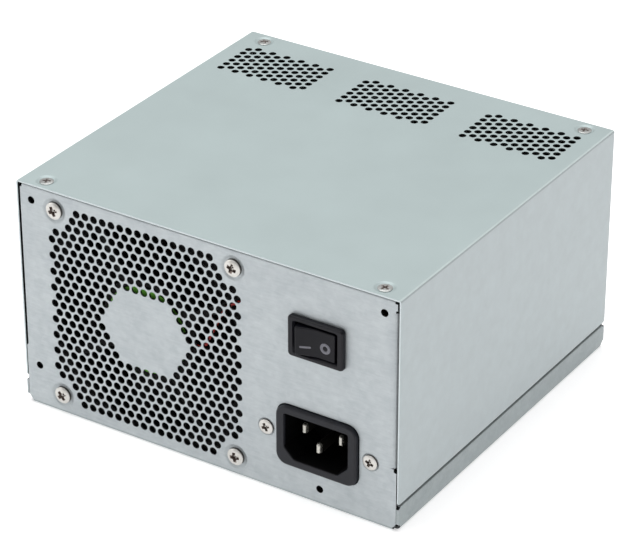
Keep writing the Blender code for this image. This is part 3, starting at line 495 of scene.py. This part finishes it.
def make_tray(*materials):
    """The folded tray.

    Its materials are those of the panels, of the skirts and the lower folds in a darker copy that paints
    their shade, and of the cut edges and the inside, bare cut metal darkened further as painted shade.
    """
    bm = bmesh.new()
    make_panel(bm)
    make_front_wall(bm)
    make_floor(bm)
    make_tray_folds(bm)
    make_skirts(bm)
    return sheet_object("case_tray", bm, SHEET, materials)


def make_cover(*materials):
    """The folded cover.

    Its materials are those of the top, of the sides in a copy painted darker as shade, of the upper half of
    its bends with a painted highlight and of their lower half with painted shade, of the cut edges in the
    rear panel's plane with a painted highlight, and of all other cut edges and the inside, bare cut metal
    darkened further as painted shade.
    """
    bm = bmesh.new()
    inner = SIDE - COVER_BEND
    outline = [(-inner, REAR), (inner, REAR), (inner, FRONT), (-inner, FRONT)]
    holes = [circle(x, y, VENT_RADIUS, VENT_SIDES) for x, y in top_holes()]
    for node in COVER_SCREWS:
        place = middle(node)
        holes.append(add_dimple(bm, top_plane, place.x, place.y, COVER_DIMPLE))
    add_plate(bm, top_plane, outline, holes)
    # The upper half of each bend takes a painted highlight, the lower half painted shade.
    bends = [arc(inner, TOP - COVER_BEND, COVER_BEND, start, end, 3) for start, end in ((90, 45), (45, 0))]
    half = [(FRONT - COVER_CHAMFER, COVER_LOW), (FRONT, COVER_LOW + COVER_CHAMFER), (FRONT, TOP - COVER_BEND)]
    side = half + [(-u, v) for u, v in reversed(half)]
    for sign, plane in ((1, right_plane), (-1, left_plane)):
        for material, bend in enumerate(bends, 2):
            path = [lambda y, x=x, z=z: Vector((sign * x, y, z)) for x, z in bend]
            add_fold(bm, path, sign * FRONT, sign * REAR, material)
        add_plate(bm, plane, side, material=1)
    return sheet_object("case_cover", bm, COVER_SHEET, materials)


# Fasteners


def lofted(name, rings, material):
    """A closed solid through rings of the same number of points."""
    bm = bmesh.new()
    made = [[bm.verts.new(point) for point in ring] for ring in rings]
    count = len(made[0])
    for near, far in zip(made, made[1:]):
        for index in range(count):
            other = (index + 1) % count
            bm.faces.new((near[index], near[other], far[other], far[index]))
    bm.faces.new(made[0][::-1])
    bm.faces.new(made[-1])
    bmesh.ops.recalc_face_normals(bm, faces=bm.faces)
    mesh = bpy.data.meshes.new(name)
    bm.to_mesh(mesh)
    bm.free()
    return add_object(name, mesh, material)


def carve(obj, cutter, operation="DIFFERENCE"):
    """Cuts another object from this one, or joins it, and removes the other."""
    modifier = obj.modifiers.new("carve", "BOOLEAN")
    modifier.operation = operation
    modifier.object = cutter
    obj.data = evaluated_mesh(obj)
    bpy.data.objects.remove(cutter, do_unlink=True)


def screw_mesh(name, head, length, recess, materials):
    """A screw that faces +Z, with its head's underside at height 0 and a cross recess.

    materials are those of the plating, of the recess, painted darker as shade, and of the head's side, which
    the fan's and the inlet's screws paint dark as shade.
    """
    radius, side, dome = head
    profile = [(0.6 * SHANK, -length), (SHANK, -length + 0.5 * SHANK), (SHANK, 0), (radius, 0)]
    for angle in DOME_TURNS:
        turn = math.radians(angle)
        profile.append((radius * math.cos(turn), side + dome * math.sin(turn)))
    rings = [[Vector((x, y, height)) for x, y in circle(0, 0, out)] for out, height in profile]
    screw = lofted(name, rings, materials[0])
    for material in materials[1:]:
        screw.data.materials.append(material)
    reach, wing, depth = recess
    top = side + dome
    high, low = top + GAP, top - depth
    for number, (a, b) in enumerate(((reach, wing), (wing, reach))):
        levels = ((0.55, low), (1.0, top), (1.1, high))
        made = [[Vector((u * a * share, v * b * share, z)) for u, v in SQUARE] for share, z in levels]
        carve(screw, lofted(f"{name}_cutter_{number}", made, materials[0]))
    levels = ((0.2, low - 0.3 * depth), (1.9, high))
    made = [[Vector((x, y, z)) for x, y in circle(0, 0, share * wing, 12)] for share, z in levels]
    carve(screw, lofted(f"{name}_cutter", made, materials[0]))
    for face in screw.data.polygons:
        place = face.center
        out = math.hypot(place.x, place.y)
        on_dome = place.z > side + dome * 0.9 and face.normal.z > 0.5
        in_shaded_recess = out < reach and face.normal.z < 0.9 and place.z > low - depth
        on_shaded_side = out > 0.9 * radius and abs(face.normal.z) < 0.5 and place.z < side
        # The recess and the head's side take the darker materials: painted shade.
        if in_shaded_recess and not on_dome:
            face.material_index = 1
        elif on_shaded_side:
            face.material_index = 2
    weigh_normals(screw, 32)
    return screw


def place_screws(master, nodes, facing, seat):
    """Copies of a screw for CAD screws: seat turns a CAD screw's centre into the place of its head."""
    for number, node in enumerate(nodes):
        screw = bpy.data.objects.new(f"{node}_fine", master.data)
        bpy.context.scene.collection.objects.link(screw)
        for modifier in master.modifiers:
            screw.modifiers.new(modifier.name, modifier.type).keep_sharp = True
        turn = Matrix.Rotation(SCREW_TURNS[number % len(SCREW_TURNS)], 4, "Z")
        screw.matrix_world = Matrix.Translation(seat(middle(node))) @ facing @ turn
        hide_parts(node)
        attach(screw, "case")
    bpy.data.objects.remove(master, do_unlink=True)


def make_screws(plating):
    """The fan's, the inlet's and the cover's screws, with heads slightly sunk in their dimples."""
    # The fan's and the inlet's screws are painted darker on their heads' sides and in their recesses, the
    # cover's screws in their recesses: painted shade.
    side = zinc("screw_side_painted_shade", (96, 92, 88), (70, 67, 64))
    darker_plate = zinc("dull_zinc_plate", (200, 201, 199), (186, 188, 186))
    rearwards = Matrix.Rotation(math.pi / 2, 4, "X")
    upwards = Matrix.Identity(4)
    recess = zinc("fan_screw_recess_painted_shade", (140, 126, 118), (104, 92, 86))
    fan = screw_mesh("fan_screw", FAN_HEAD, FAN_LENGTH, FAN_RECESS, (plating, recess, side))
    place_screws(fan, FAN_SCREWS, rearwards, lambda place: Vector((place.x, REAR + FAN_SINK, place.z)))
    recess = zinc("inlet_screw_recess_painted_shade", (120, 108, 98), (84, 74, 67))
    small = screw_mesh("inlet_screw", INLET_HEAD, INLET_LENGTH, INLET_RECESS, (plating, recess, side))
    place_screws(small, INLET_SCREWS, rearwards, lambda place: Vector((place.x, REAR + INLET_SINK, place.z)))
    recess = zinc("cover_screw_recess_painted_shade", (176, 168, 164), (148, 140, 137))
    flat = screw_mesh("cover_screw", COVER_HEAD, COVER_LENGTH, COVER_RECESS, (darker_plate, recess, darker_plate))
    place_screws(flat, COVER_SCREWS, upwards, lambda place: Vector((place.x, place.y, TOP - COVER_SINK)))


# Mains inlet and switch


def ring_at(outline, y, centre):
    """An outline as a ring of points at this y, round a centre."""
    return [Vector((centre.x + u, y, centre.z + v)) for u, v in outline]


def inset(width, height, radius, amount, steps=6):
    """A rounded rectangle, drawn in by an amount."""
    return rounded(0, 0, width - 2 * amount, height - 2 * amount, max(radius - amount, 0.0002), steps)


def cavity_outline(grow=0.0):
    """The socket's outline, with chamfered lower corners and small roundings."""
    u, v, chamfer = CAVITY_WIDTH / 2 + grow, CAVITY_HEIGHT / 2 + grow, CAVITY_CHAMFER
    sharp = [(u, v), (-u, v), (-u, chamfer - v), (chamfer - u, -v), (u - chamfer, -v), (u, chamfer - v)]
    points = []
    for before, corner, after in zip(sharp[-1:] + sharp, sharp, sharp[1:] + sharp[:1]):
        here = Vector(corner)
        towards, onwards = (Vector(before) - here).normalized(), (Vector(after) - here).normalized()
        for back, ahead in ((1, 0), (0.375, 0.375), (0, 1)):
            points.append(tuple(here + CAVITY_ROUND * (towards * back + onwards * ahead)))
    return points


def make_inlet(material, dark):
    """The inlet's housing, with a darker plastic in its socket as painted shade."""
    size = (COLLAR.x, COLLAR.z, COLLAR_CORNER)
    front, back = REAR - COLLAR_FRONT, corners("inlet_housing")[1].y
    steps = [(back, 0)] + [(front + depth, amount) for depth, amount in COLLAR_EDGE]
    rings = [ring_at(inset(*size, amount), y, INLET) for y, amount in steps]
    housing = lofted("inlet_socket", rings, material)
    plate = rounded(0, 0, PLATE_WIDTH, PLATE_HEIGHT, PLATE_CORNER)
    rings = [ring_at(plate, REAR + y, INLET) for y in (PLATE_FAR, PLATE_NEAR)]
    carve(housing, lofted("plate", rings, material), "UNION")
    steps = [(front + depth, grow) for depth, grow in CAVITY_EDGE] + [(REAR + CAVITY_FLOOR, -CAVITY_DRAFT)]
    rings = [ring_at(cavity_outline(grow), y, INLET) for y, grow in steps]
    carve(housing, lofted("cavity", rings[::-1], material))
    for node in PIN_NODES:
        low, high = corners(node)
        hole = rounded(0, 0, high.x - low.x + 2 * GAP, high.z - low.z + 2 * GAP, GAP, 2)
        rings = [ring_at(hole, y, middle(node)) for y in (back + SHEET, REAR + CAVITY_FLOOR - SHEET)]
        carve(housing, lofted("slot", rings, material))
    hole, ends = circle(0, 0, SCREW_HOLE, 16), (REAR + PLATE_FAR + SHEET, REAR + PLATE_NEAR - SHEET)
    for node in INLET_SCREWS:
        rings = [ring_at(hole, y, middle(node)) for y in ends]
        carve(housing, lofted("screw_hole", rings, material))
    # The socket's faces take the near-black plastic: painted shade in the cavity.
    housing.data.materials.append(dark)
    slack = 0.0001
    for face in housing.data.polygons:
        place = face.center - INLET
        across, up = abs(place.x) < CAVITY_WIDTH / 2 + slack, abs(place.z) < CAVITY_HEIGHT / 2 + slack
        if across and up and front + 4 * slack < face.center.y < REAR + CAVITY_FLOOR + slack:
            face.material_index = 1
    weigh_normals(housing, 32)
    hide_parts("inlet_housing")
    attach(housing, "case")


def make_pins(material, darker_plate):
    """Flat blades with rounded tips in the bright plating, painted darker behind the tips as shade."""
    for node in PIN_NODES:
        low, high = corners(node)
        size = (high.x - low.x, high.z - low.z, PIN_CORNER)
        steps = [(high.y, 0)] + [(low.y + depth, amount) for depth, amount in PIN_EDGE]
        rings = [ring_at(inset(*size, amount, 3), y, middle(node)) for y, amount in steps]
        pin = lofted(f"{node}_blade", rings, material)
        # Faces behind the tips take the darker plate: painted shade on the blades.
        pin.data.materials.append(darker_plate)
        for face in pin.data.polygons:
            face.material_index = int(face.center.y > low.y + PIN_BRIGHT)
        weigh_normals(pin, 50)
        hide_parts(node)
        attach(pin, "case")


def make_switch_housing(material):
    """The switch's body and bezel, with the window that the rocker sits in."""
    front, back = REAR - BEZEL_FRONT, corners("switch_housing")[1].y
    body = rounded(0, 0, BODY_WIDTH, BODY_HEIGHT, BODY_CORNER)
    bezel = (BEZEL_WIDTH, BEZEL_HEIGHT, BEZEL_CORNER)
    rings = [ring_at(body, y, SWITCH) for y in (back, REAR - GAP)]
    steps = [(REAR - GAP, 0)] + [(front + depth, amount) for depth, amount in BEZEL_EDGE]
    rings += [ring_at(inset(*bezel, amount), y, SWITCH) for y, amount in steps]
    housing = lofted("switch_body", rings, material)
    window = (WINDOW_WIDTH, WINDOW_HEIGHT, GAP)
    steps = [(front + depth, amount) for depth, amount in WINDOW_EDGE] + [(REAR + WINDOW_FLOOR, 0)]
    rings = [ring_at(inset(*window, amount), y, SWITCH) for y, amount in steps]
    carve(housing, lofted("window", rings[::-1], material))
    for node in ("switch_terminal_1", "switch_terminal_2"):
        low, high = corners(node)
        slot = rounded(0, 0, high.x - low.x + 2 * GAP, high.z - low.z + 2 * GAP, 0.0002, 1)
        rings = [ring_at(slot, y, middle(node)) for y in (back + SHEET, low.y - GAP)]
        carve(housing, lofted("slot", rings, material))
    weigh_normals(housing, 32)
    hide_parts("switch_housing")
    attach(housing, "case")


def turned(points, angle):
    """Points turned round the origin."""
    cosine, sine = math.cos(angle), math.sin(angle)
    return [(u * cosine - v * sine, u * sine + v * cosine) for u, v in points]


def rocker_outline():
    """The rocker at rest, its right half pressed in: x, and y towards the inside, from its pivot."""
    tip = turned([(ROCKER_REACH, ROCKER_FACE)], ROCKER_TILT)[0]
    heel = turned([(ROCKER_REACH, 0)], -ROCKER_TILT)[0]
    half = [(0.0, -ROCKER_BELLY), heel, tip]
    outline = half + [(0.0, ROCKER_FACE / math.cos(ROCKER_TILT))] + [(-u, v) for u, v in half[:0:-1]]
    return turned([(u, -v) for u, v in outline], ROCKER_TILT)


def add_legend(bm, ends, height, loops):
    """A thin raised mark in the middle of one half of the rocker's face.

    ends are the half's two ends in the rocker's outline, from left to right. height is the mark's place
    above the pivot's middle, and loops are its outlines: one, or an outer and an inner one.
    """
    pivot = Vector((SWITCH.x, REAR + PIVOT_DEPTH, SWITCH.z))
    start, end = (Vector(point) for point in ends)
    along = (end - start).normalized()
    out = Vector((along.y, -along.x))

    def point(u, v, rise):
        flat = (start + end) / 2 + along * u + out * rise
        return pivot + Vector((flat.x, flat.y, height + v))

    levels = []
    for rise in (LEGEND_RISE, -LEGEND_ROOT):
        levels.append([[bm.verts.new(point(u, v, rise)) for u, v in loop] for loop in loops])
    faces = []
    for high, low in zip(*levels):
        for index in range(len(high)):
            other = (index + 1) % len(high)
            faces.append(bm.faces.new((low[index], low[other], high[other], high[index])))
    for level in levels:
        outer, inner = level[0], level[-1]
        if len(level) == 1:
            faces.append(bm.faces.new(outer))
            continue
        for index in range(len(outer)):
            other = (index + 1) % len(outer)
            faces.append(bm.faces.new((outer[index], outer[other], inner[other], inner[index])))
    for face in faces:
        face.material_index = 1


def make_rocker(material, ink):
    """The rocker, with a dash on its left half and a ring on its right half."""
    outline = rocker_outline()
    reach = WINDOW_HEIGHT / 2 - GAP
    rings = []
    for z in (-reach, reach):
        rings.append([Vector((SWITCH.x + u, REAR + PIVOT_DEPTH + v, SWITCH.z + z)) for u, v in outline])
    rocker = lofted("switch_rocker_cap", rings, material)
    rocker.data.materials.append(ink)
    bm = bmesh.new()
    bm.from_mesh(rocker.data)
    bevel_edges(bm, ROCKER_EDGE, 3, math.radians(30))
    right_tip, ridge, left_tip = outline[2:5]
    dash = turned(rounded(0, 0, DASH_WIDTH, DASH_HEIGHT, DASH_CORNER, 2), DASH_TURN)
    add_legend(bm, (left_tip, ridge), DASH_PLACE, [dash])
    add_legend(bm, (ridge, right_tip), RING_PLACE, [circle(0, 0, RING_RADIUS), circle(0, 0, RING_HOLE)])
    bmesh.ops.recalc_face_normals(bm, faces=bm.faces)
    bm.to_mesh(rocker.data)
    bm.free()
    weigh_normals(rocker)
    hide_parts("switch_rocker")
    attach(rocker, "rocker")


def make_grommet(material):
    """The ring in the front wall, with rounded edges."""
    low, high = corners("cable_grommet")
    centre = middle("cable_grommet")
    width, height = high.x - low.x, high.z - low.z
    flange = (width, height, GROMMET_CORNER)
    sleeve = rounded(0, 0, width - 2 * GROMMET_LIP, height - 2 * GROMMET_LIP, SLEEVE_CORNER)
    rings = [ring_at(sleeve, y, centre) for y in (low.y, FRONT + GAP)]
    steps = [(FRONT + GAP, 0)] + [(high.y - depth, amount) for depth, amount in GROMMET_EDGE]
    rings += [ring_at(inset(*flange, amount), y, centre) for y, amount in steps]
    ring = lofted("grommet_ring", rings, material)
    rim = 2 * (GROMMET_LIP + GROMMET_WALL)
    opening = (width - rim, height - rim, OPENING_CORNER)
    steps = [(low.y - SHEET, 0)] + [(high.y - depth, amount) for depth, amount in OPENING_EDGE]
    rings = [ring_at(inset(*opening, amount), y, centre) for y, amount in steps]
    carve(ring, lofted("opening", rings, material))
    weigh_normals(ring, 40)
    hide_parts("cable_grommet")
    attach(ring, "case")


# Materials


def linear(value):
    """An 8-bit sRGB value as a linear one."""
    share = value / 255
    return share / 12.92 if share <= 0.04045 else ((share + 0.055) / 1.055) ** 2.4


def rgba(colour):
    """An 8-bit sRGB colour as Blender's linear one."""
    return [linear(value) for value in colour] + [1.0]


class Finish:
    """A procedural material whose colour, roughness and bump come from noise in the object's own space."""

    def __init__(self, name, roughness, metallic=0.0, **sockets):
        self.material = bpy.data.materials.new(name)
        self.material.use_nodes = True
        self.nodes = self.material.node_tree.nodes
        self.links = self.material.node_tree.links
        self.shader = self.nodes["Principled BSDF"]
        self.shader.inputs["Roughness"].default_value = roughness
        self.shader.inputs["Metallic"].default_value = metallic
        for socket, value in sockets.items():
            self.shader.inputs[socket.replace("_", " ")].default_value = value
        self.space = self.nodes.new("ShaderNodeTexCoord").outputs["Object"]

    def stretched(self, scale):
        """The object's space, scaled along X, Y and Z."""
        mapping = self.nodes.new("ShaderNodeMapping")
        mapping.inputs["Scale"].default_value = scale
        self.links.new(self.space, mapping.inputs["Vector"])
        return mapping.outputs["Vector"]

    def noise(self, scale, detail=3.0, rough=0.5, stretch=None):
        """Noise with this many waves in a metre."""
        node = self.nodes.new("ShaderNodeTexNoise")
        node.inputs["Scale"].default_value = scale
        node.inputs["Detail"].default_value = detail
        node.inputs["Roughness"].default_value = rough
        self.links.new(self.stretched(stretch) if stretch else self.space, node.inputs["Vector"])
        return node.outputs["Fac"]

    def cells(self, scale, stretch=None):
        """Flat crystal-like patches, each of one random grey."""
        node = self.nodes.new("ShaderNodeTexVoronoi")
        node.inputs["Scale"].default_value = scale
        self.links.new(self.stretched(stretch) if stretch else self.space, node.inputs["Vector"])
        grey = self.nodes.new("ShaderNodeSeparateColor")
        self.links.new(node.outputs["Color"], grey.inputs["Color"])
        return grey.outputs["Red"]

    def spread(self, factor, low, high, start=0.3, end=0.7):
        """Maps a factor's range to other values."""
        node = self.nodes.new("ShaderNodeMapRange")
        for socket, value in (("From Min", start), ("From Max", end), ("To Min", low), ("To Max", high)):
            node.inputs[socket].default_value = value
        self.links.new(factor, node.inputs["Value"])
        return node.outputs["Result"]

    def mixed(self, factor, first, second, blend="MIX"):
        """A mix of two colours, each a socket or a list."""
        node = self.nodes.new("ShaderNodeMix")
        node.data_type = "RGBA"
        node.blend_type = blend
        self.put(factor, node.inputs["Factor"])
        self.put(first, node.inputs[6])
        self.put(second, node.inputs[7])
        return node.outputs[2]

    def put(self, value, socket):
        if isinstance(value, bpy.types.NodeSocket):
            self.links.new(value, socket)
        else:
            socket.default_value = value

    def colour(self, source):
        self.put(source, self.shader.inputs["Base Color"])

    def roughness(self, source):
        self.put(source, self.shader.inputs["Roughness"])

    def bump(self, factor, height):
        """Relief of this height in metres."""
        node = self.nodes.new("ShaderNodeBump")
        node.inputs["Strength"].default_value = 1.0
        node.inputs["Distance"].default_value = height
        self.links.new(factor, node.inputs["Height"])
        self.links.new(node.outputs["Normal"], self.shader.inputs["Normal"])


def galvanised(name, light, dark, roughness=0.5):
    """Bare galvanised sheet: soft blotches and a blurred spangle under faint rolling marks."""
    finish = Finish(name, roughness, 0.5)
    clouds = finish.noise(150, 4, 0.6)
    blotches = finish.noise(420, 3, 0.6, (0.55, 1.0, 1.0))
    spangle = finish.cells(520)
    lines = finish.noise(1400, 2, 0.5, (0.12, 1.0, 1.0))
    tone = finish.mixed(finish.spread(clouds, 0, 1), rgba(dark), rgba(light))
    patch = finish.mixed(finish.spread(blotches, 0, 1, 0.35, 0.65), rgba(dark), rgba(light))
    tone = finish.mixed(0.5, tone, patch)
    tone = finish.mixed(0.22, tone, finish.mixed(spangle, rgba(dark), rgba(light)))
    tone = finish.mixed(0.25, tone, finish.mixed(finish.spread(lines, 0, 1), rgba(dark), rgba(light)))
    finish.colour(tone)
    finish.roughness(finish.spread(blotches, roughness - 0.06, roughness + 0.06))
    finish.bump(finish.noise(2600, 2), 0.000003)
    return finish.material


def coated(name, colour, waves, depth):
    """The cover's satin, slightly green sheet, with faint clouds: their waves in a metre and their depth.
    Copies in other colours paint shade on the cover's sides, and a highlight and shade on its bends.
    """
    finish = Finish(name, 0.5, 0.35)
    clouds = finish.noise(waves, 4, 0.6)
    darker = tuple(value * (1 - depth) for value in colour)
    finish.colour(finish.mixed(finish.spread(clouds, 0, 1), rgba(darker), rgba(colour)))
    finish.roughness(finish.spread(clouds, 0.47, 0.53))
    finish.bump(finish.noise(3200, 2), 0.000001)
    return finish.material


def zinc(name, light, dark):
    """Zinc plating or the bare metal of a cut edge, also in darker or lighter copies that paint shade and
    highlights.
    """
    finish = Finish(name, 0.35, 0.7)
    clouds = finish.noise(700, 3)
    finish.colour(finish.mixed(finish.spread(clouds, 0, 1), rgba(dark), rgba(light)))
    finish.roughness(finish.spread(clouds, 0.28, 0.42))
    finish.bump(finish.noise(3000, 2), 0.000004)
    return finish.material


def moulded(name, colour, roughness, grain=0.000008, shift=1.25, gloss=0.5):
    """Moulded plastic with a fine grain and a faint unevenness."""
    finish = Finish(name, roughness, Specular_IOR_Level=gloss)
    clouds = finish.noise(350, 3)
    lighter = tuple(min(255, value * shift) for value in colour)
    finish.colour(finish.mixed(finish.spread(clouds, 0, 1), rgba(colour), rgba(lighter)))
    finish.roughness(finish.spread(clouds, roughness - 0.05, roughness + 0.08))
    finish.bump(finish.noise(5000, 2), grain)
    return finish.material


def metal(name, colour, roughness, lines=(1.0, 1.0, 1.0)):
    """Bare metal with drawn or turned marks."""
    finish = Finish(name, roughness, 0.9)
    marks = finish.noise(1500, 3, 0.6, lines)
    darker = tuple(value * 0.85 for value in colour)
    finish.colour(finish.mixed(finish.spread(marks, 0, 1), rgba(darker), rgba(colour)))
    finish.roughness(finish.spread(marks, roughness - 0.06, roughness + 0.08))
    finish.bump(marks, 0.000005)
    return finish.material


def wound(name, colour, pitch, direction="Z"):
    """Enamelled wire laid side by side, with turns of this pitch. Darker bands between the turns paint their
    shade.
    """
    finish = Finish(name, 0.35, 0.6)
    wave = finish.nodes.new("ShaderNodeTexWave")
    wave.bands_direction = direction
    wave.inputs["Scale"].default_value = math.pi / 10 / pitch
    wave.inputs["Distortion"].default_value = 0.6
    finish.links.new(finish.space, wave.inputs["Vector"])
    darker = tuple(value * 0.55 for value in colour)
    finish.colour(finish.mixed(wave.outputs["Fac"], rgba(darker), rgba(colour)))
    finish.bump(wave.outputs["Fac"], 0.0002)
    return finish.material


def make_materials():
    """One material for each slot in the record."""
    return {
        "case_steel": galvanised("galvanised_steel", TRAY_LIGHT, TRAY_DARK),
        "screw_steel": zinc("zinc_plate", (216, 214, 210), (202, 199, 193)),
        "fan_plastic": moulded("fan_plastic", (14, 14, 15), 0.5, gloss=0.2),
        "bearing_steel": metal("ground_steel", (190, 190, 192), 0.25),
        "copper_winding": wound("copper_winding", (176, 104, 56), 0.0009),
        "hub_label": moulded("hub_label", (120, 200, 70), 0.55, 0.000002, 1.08),
        "inlet_plastic": moulded("inlet_plastic", (28, 29, 34), 0.42, gloss=0.25),
        "switch_plastic": moulded("switch_plastic", (16, 16, 22), 0.40, gloss=0.25),
        "rocker_plastic": moulded("rocker_plastic", (11, 11, 17), 0.38, gloss=0.2),
        "contact_brass": metal("nickel_plate", (204, 202, 194), 0.30, (1.0, 0.1, 1.0)),
        "grommet_plastic": moulded("grommet_plastic", (32, 32, 34), 0.5),
        "board_laminate": moulded("board_laminate", (52, 88, 44), 0.45, 0.00001, 1.3),
        "insulator_film": moulded("insulator_film", (190, 172, 100), 0.3, 0.000002, 1.1),
        "heatsink_aluminium": metal("heatsink_aluminium", (176, 179, 182), 0.4, (1.0, 0.05, 1.0)),
        "transformer_tape": moulded("transformer_tape", (214, 176, 66), 0.4, 0.000004, 1.08),
        "capacitor_sleeve": moulded("capacitor_sleeve", (26, 30, 42), 0.32, 0.000003, 1.2),
        "film_capacitor": moulded("film_capacitor", (196, 168, 60), 0.45, 0.000008, 1.1),
        "epoxy": moulded("epoxy", (24, 24, 26), 0.5, 0.00001, 1.3),
        "fuse_ceramic": moulded("fuse_ceramic", (222, 220, 210), 0.3, 0.000003, 1.05),
        "brown_wire": moulded("brown_wire", (96, 58, 38), 0.42, 0.000006, 1.15),
        "blue_wire": moulded("blue_wire", (44, 74, 150), 0.42, 0.000006, 1.15),
        "green_wire": moulded("green_wire", (70, 140, 60), 0.42, 0.000006, 1.15),
        "red_wire": moulded("red_wire", (190, 50, 44), 0.42, 0.000006, 1.15),
    }


def dress_nodes(materials):
    """Gives every CAD node the material of its slot in the record."""
    for part in frame["record"]["subparts"]:
        obj = frame["nodes"][part["node"]]
        material = materials[part["material_slot"]]
        if obj.material_slots:
            for slot in obj.material_slots:
                slot.material = material
        else:
            obj.data.materials.append(material)


# Stage


def add_light(name, place, size, power, colour):
    data = bpy.data.lights.new(name, "AREA")
    data.shape = "RECTANGLE"
    data.size, data.size_y = size
    data.energy, data.color = power, colour
    light = bpy.data.objects.new(name, data)
    light.location = place
    light.rotation_euler = (LIGHT_TARGET - Vector(place)).to_track_quat("-Z", "Y").to_euler()
    bpy.context.scene.collection.objects.link(light)


def make_floor_plane():
    bm = bmesh.new()
    bm.faces.new([bm.verts.new((a * FLOOR_REACH, b * FLOOR_REACH, 0)) for a, b in SQUARE])
    mesh = bpy.data.meshes.new("studio_floor")
    bm.to_mesh(mesh)
    bm.free()
    finish = Finish("studio_paper", 0.9)
    clouds = finish.noise(3, 2)
    finish.colour(finish.mixed(clouds, (0.90, 0.90, 0.90, 1), (0.93, 0.93, 0.93, 1)))
    finish.shader.inputs["Emission Color"].default_value = (1, 1, 1, 1)
    finish.shader.inputs["Emission Strength"].default_value = FLOOR_GLOW
    add_object("studio_floor", mesh, finish.material)


def make_stage():
    world = bpy.data.worlds.new("studio")
    world.use_nodes = True
    background = world.node_tree.nodes["Background"]
    background.inputs["Color"].default_value = (1, 1, 1, 1)
    background.inputs["Strength"].default_value = WORLD_STRENGTH
    bpy.context.scene.world = world
    make_floor_plane()
    for light in LIGHTS:
        add_light(*light)
    scene = bpy.context.scene
    scene.view_settings.view_transform = "Standard"
    scene.view_settings.look = "None"


def make_camera():
    """A camera at the photograph's viewing angle, aimed a little above the case's origin."""
    data = bpy.data.cameras.new("camera")
    data.lens, data.sensor_width = LENS, 36.0
    data.clip_start, data.clip_end = 0.05, 20
    camera = bpy.data.objects.new("camera", data)
    right = Vector((math.cos(AZIMUTH), math.sin(AZIMUTH), 0))
    flat = math.cos(ELEVATION)
    back = Vector((math.sin(AZIMUTH) * flat, -math.cos(AZIMUTH) * flat, math.sin(ELEVATION)))
    up = back.cross(right)
    turn = Matrix((right, up, back)).transposed()
    camera.matrix_world = Matrix.Translation(RAISE * up + DISTANCE * back) @ turn.to_4x4()
    bpy.context.scene.collection.objects.link(camera)
    bpy.context.scene.camera = camera


def make_case(steel):
    """The tray and the cover in place of their plain CAD solids."""
    # Cut edges and the sheets' inside: bare cut metal, painted much darker as the shade in the holes, the
    # gaps and the case's inside.
    cut_edge_painted_shade = zinc("cut_edge_painted_shade", (70, 71, 72), (44, 45, 46))
    # The cover's cut edges in the rear panel's plane: a painted highlight.
    edge_painted_highlight = zinc("edge_painted_highlight", (206, 213, 215), (194, 201, 204))
    # The skirts and the lower folds: the galvanised sheet painted darker as their shade.
    skirt_painted_shade = galvanised("galvanised_skirt_painted_shade", SHADED_SKIRT_LIGHT, SHADED_SKIRT_DARK)
    tray = make_tray(steel, skirt_painted_shade, cut_edge_painted_shade)
    # The cover's sides take a shaded copy of the top's coating: painted shade.
    top, sides = coated("coated_top", COVER_TOP, 40, 0.015), coated("coated_sides_painted_shade", COVER_SIDE_SHADED, 220, 0.04)
    # The bends: a painted highlight on their upper half and painted shade on their lower half.
    bends = coated("coated_bend_painted_highlight", BEND_HIGHLIGHT, 220, 0.02), coated("coated_low_bend_painted_shade", BEND_SHADE, 220, 0.02)
    cover = make_cover(top, sides, *bends, edge_painted_highlight, cut_edge_painted_shade)
    for piece, node in ((tray, "tray"), (cover, "cover")):
        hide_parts(node)
        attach(piece, "case")


def main():
    make_camera()
    make_stage()
    materials = make_materials()
    dress_nodes(materials)
    make_case(materials["case_steel"])
    make_screws(materials["screw_steel"])
    make_inlet(materials["inlet_plastic"], moulded("socket_plastic_painted_shade", (7, 7, 8), 0.5, gloss=0.1))
    make_pins(materials["contact_brass"], metal("pin_plate_painted_shade", (66, 64, 58), 0.45, (1.0, 0.1, 1.0)))
    make_switch_housing(materials["switch_plastic"])
    make_rocker(materials["rocker_plastic"], moulded("legend_ink", (106, 106, 114), 0.5, 0.000002, 1.05))
    make_grommet(materials["grommet_plastic"])


main()
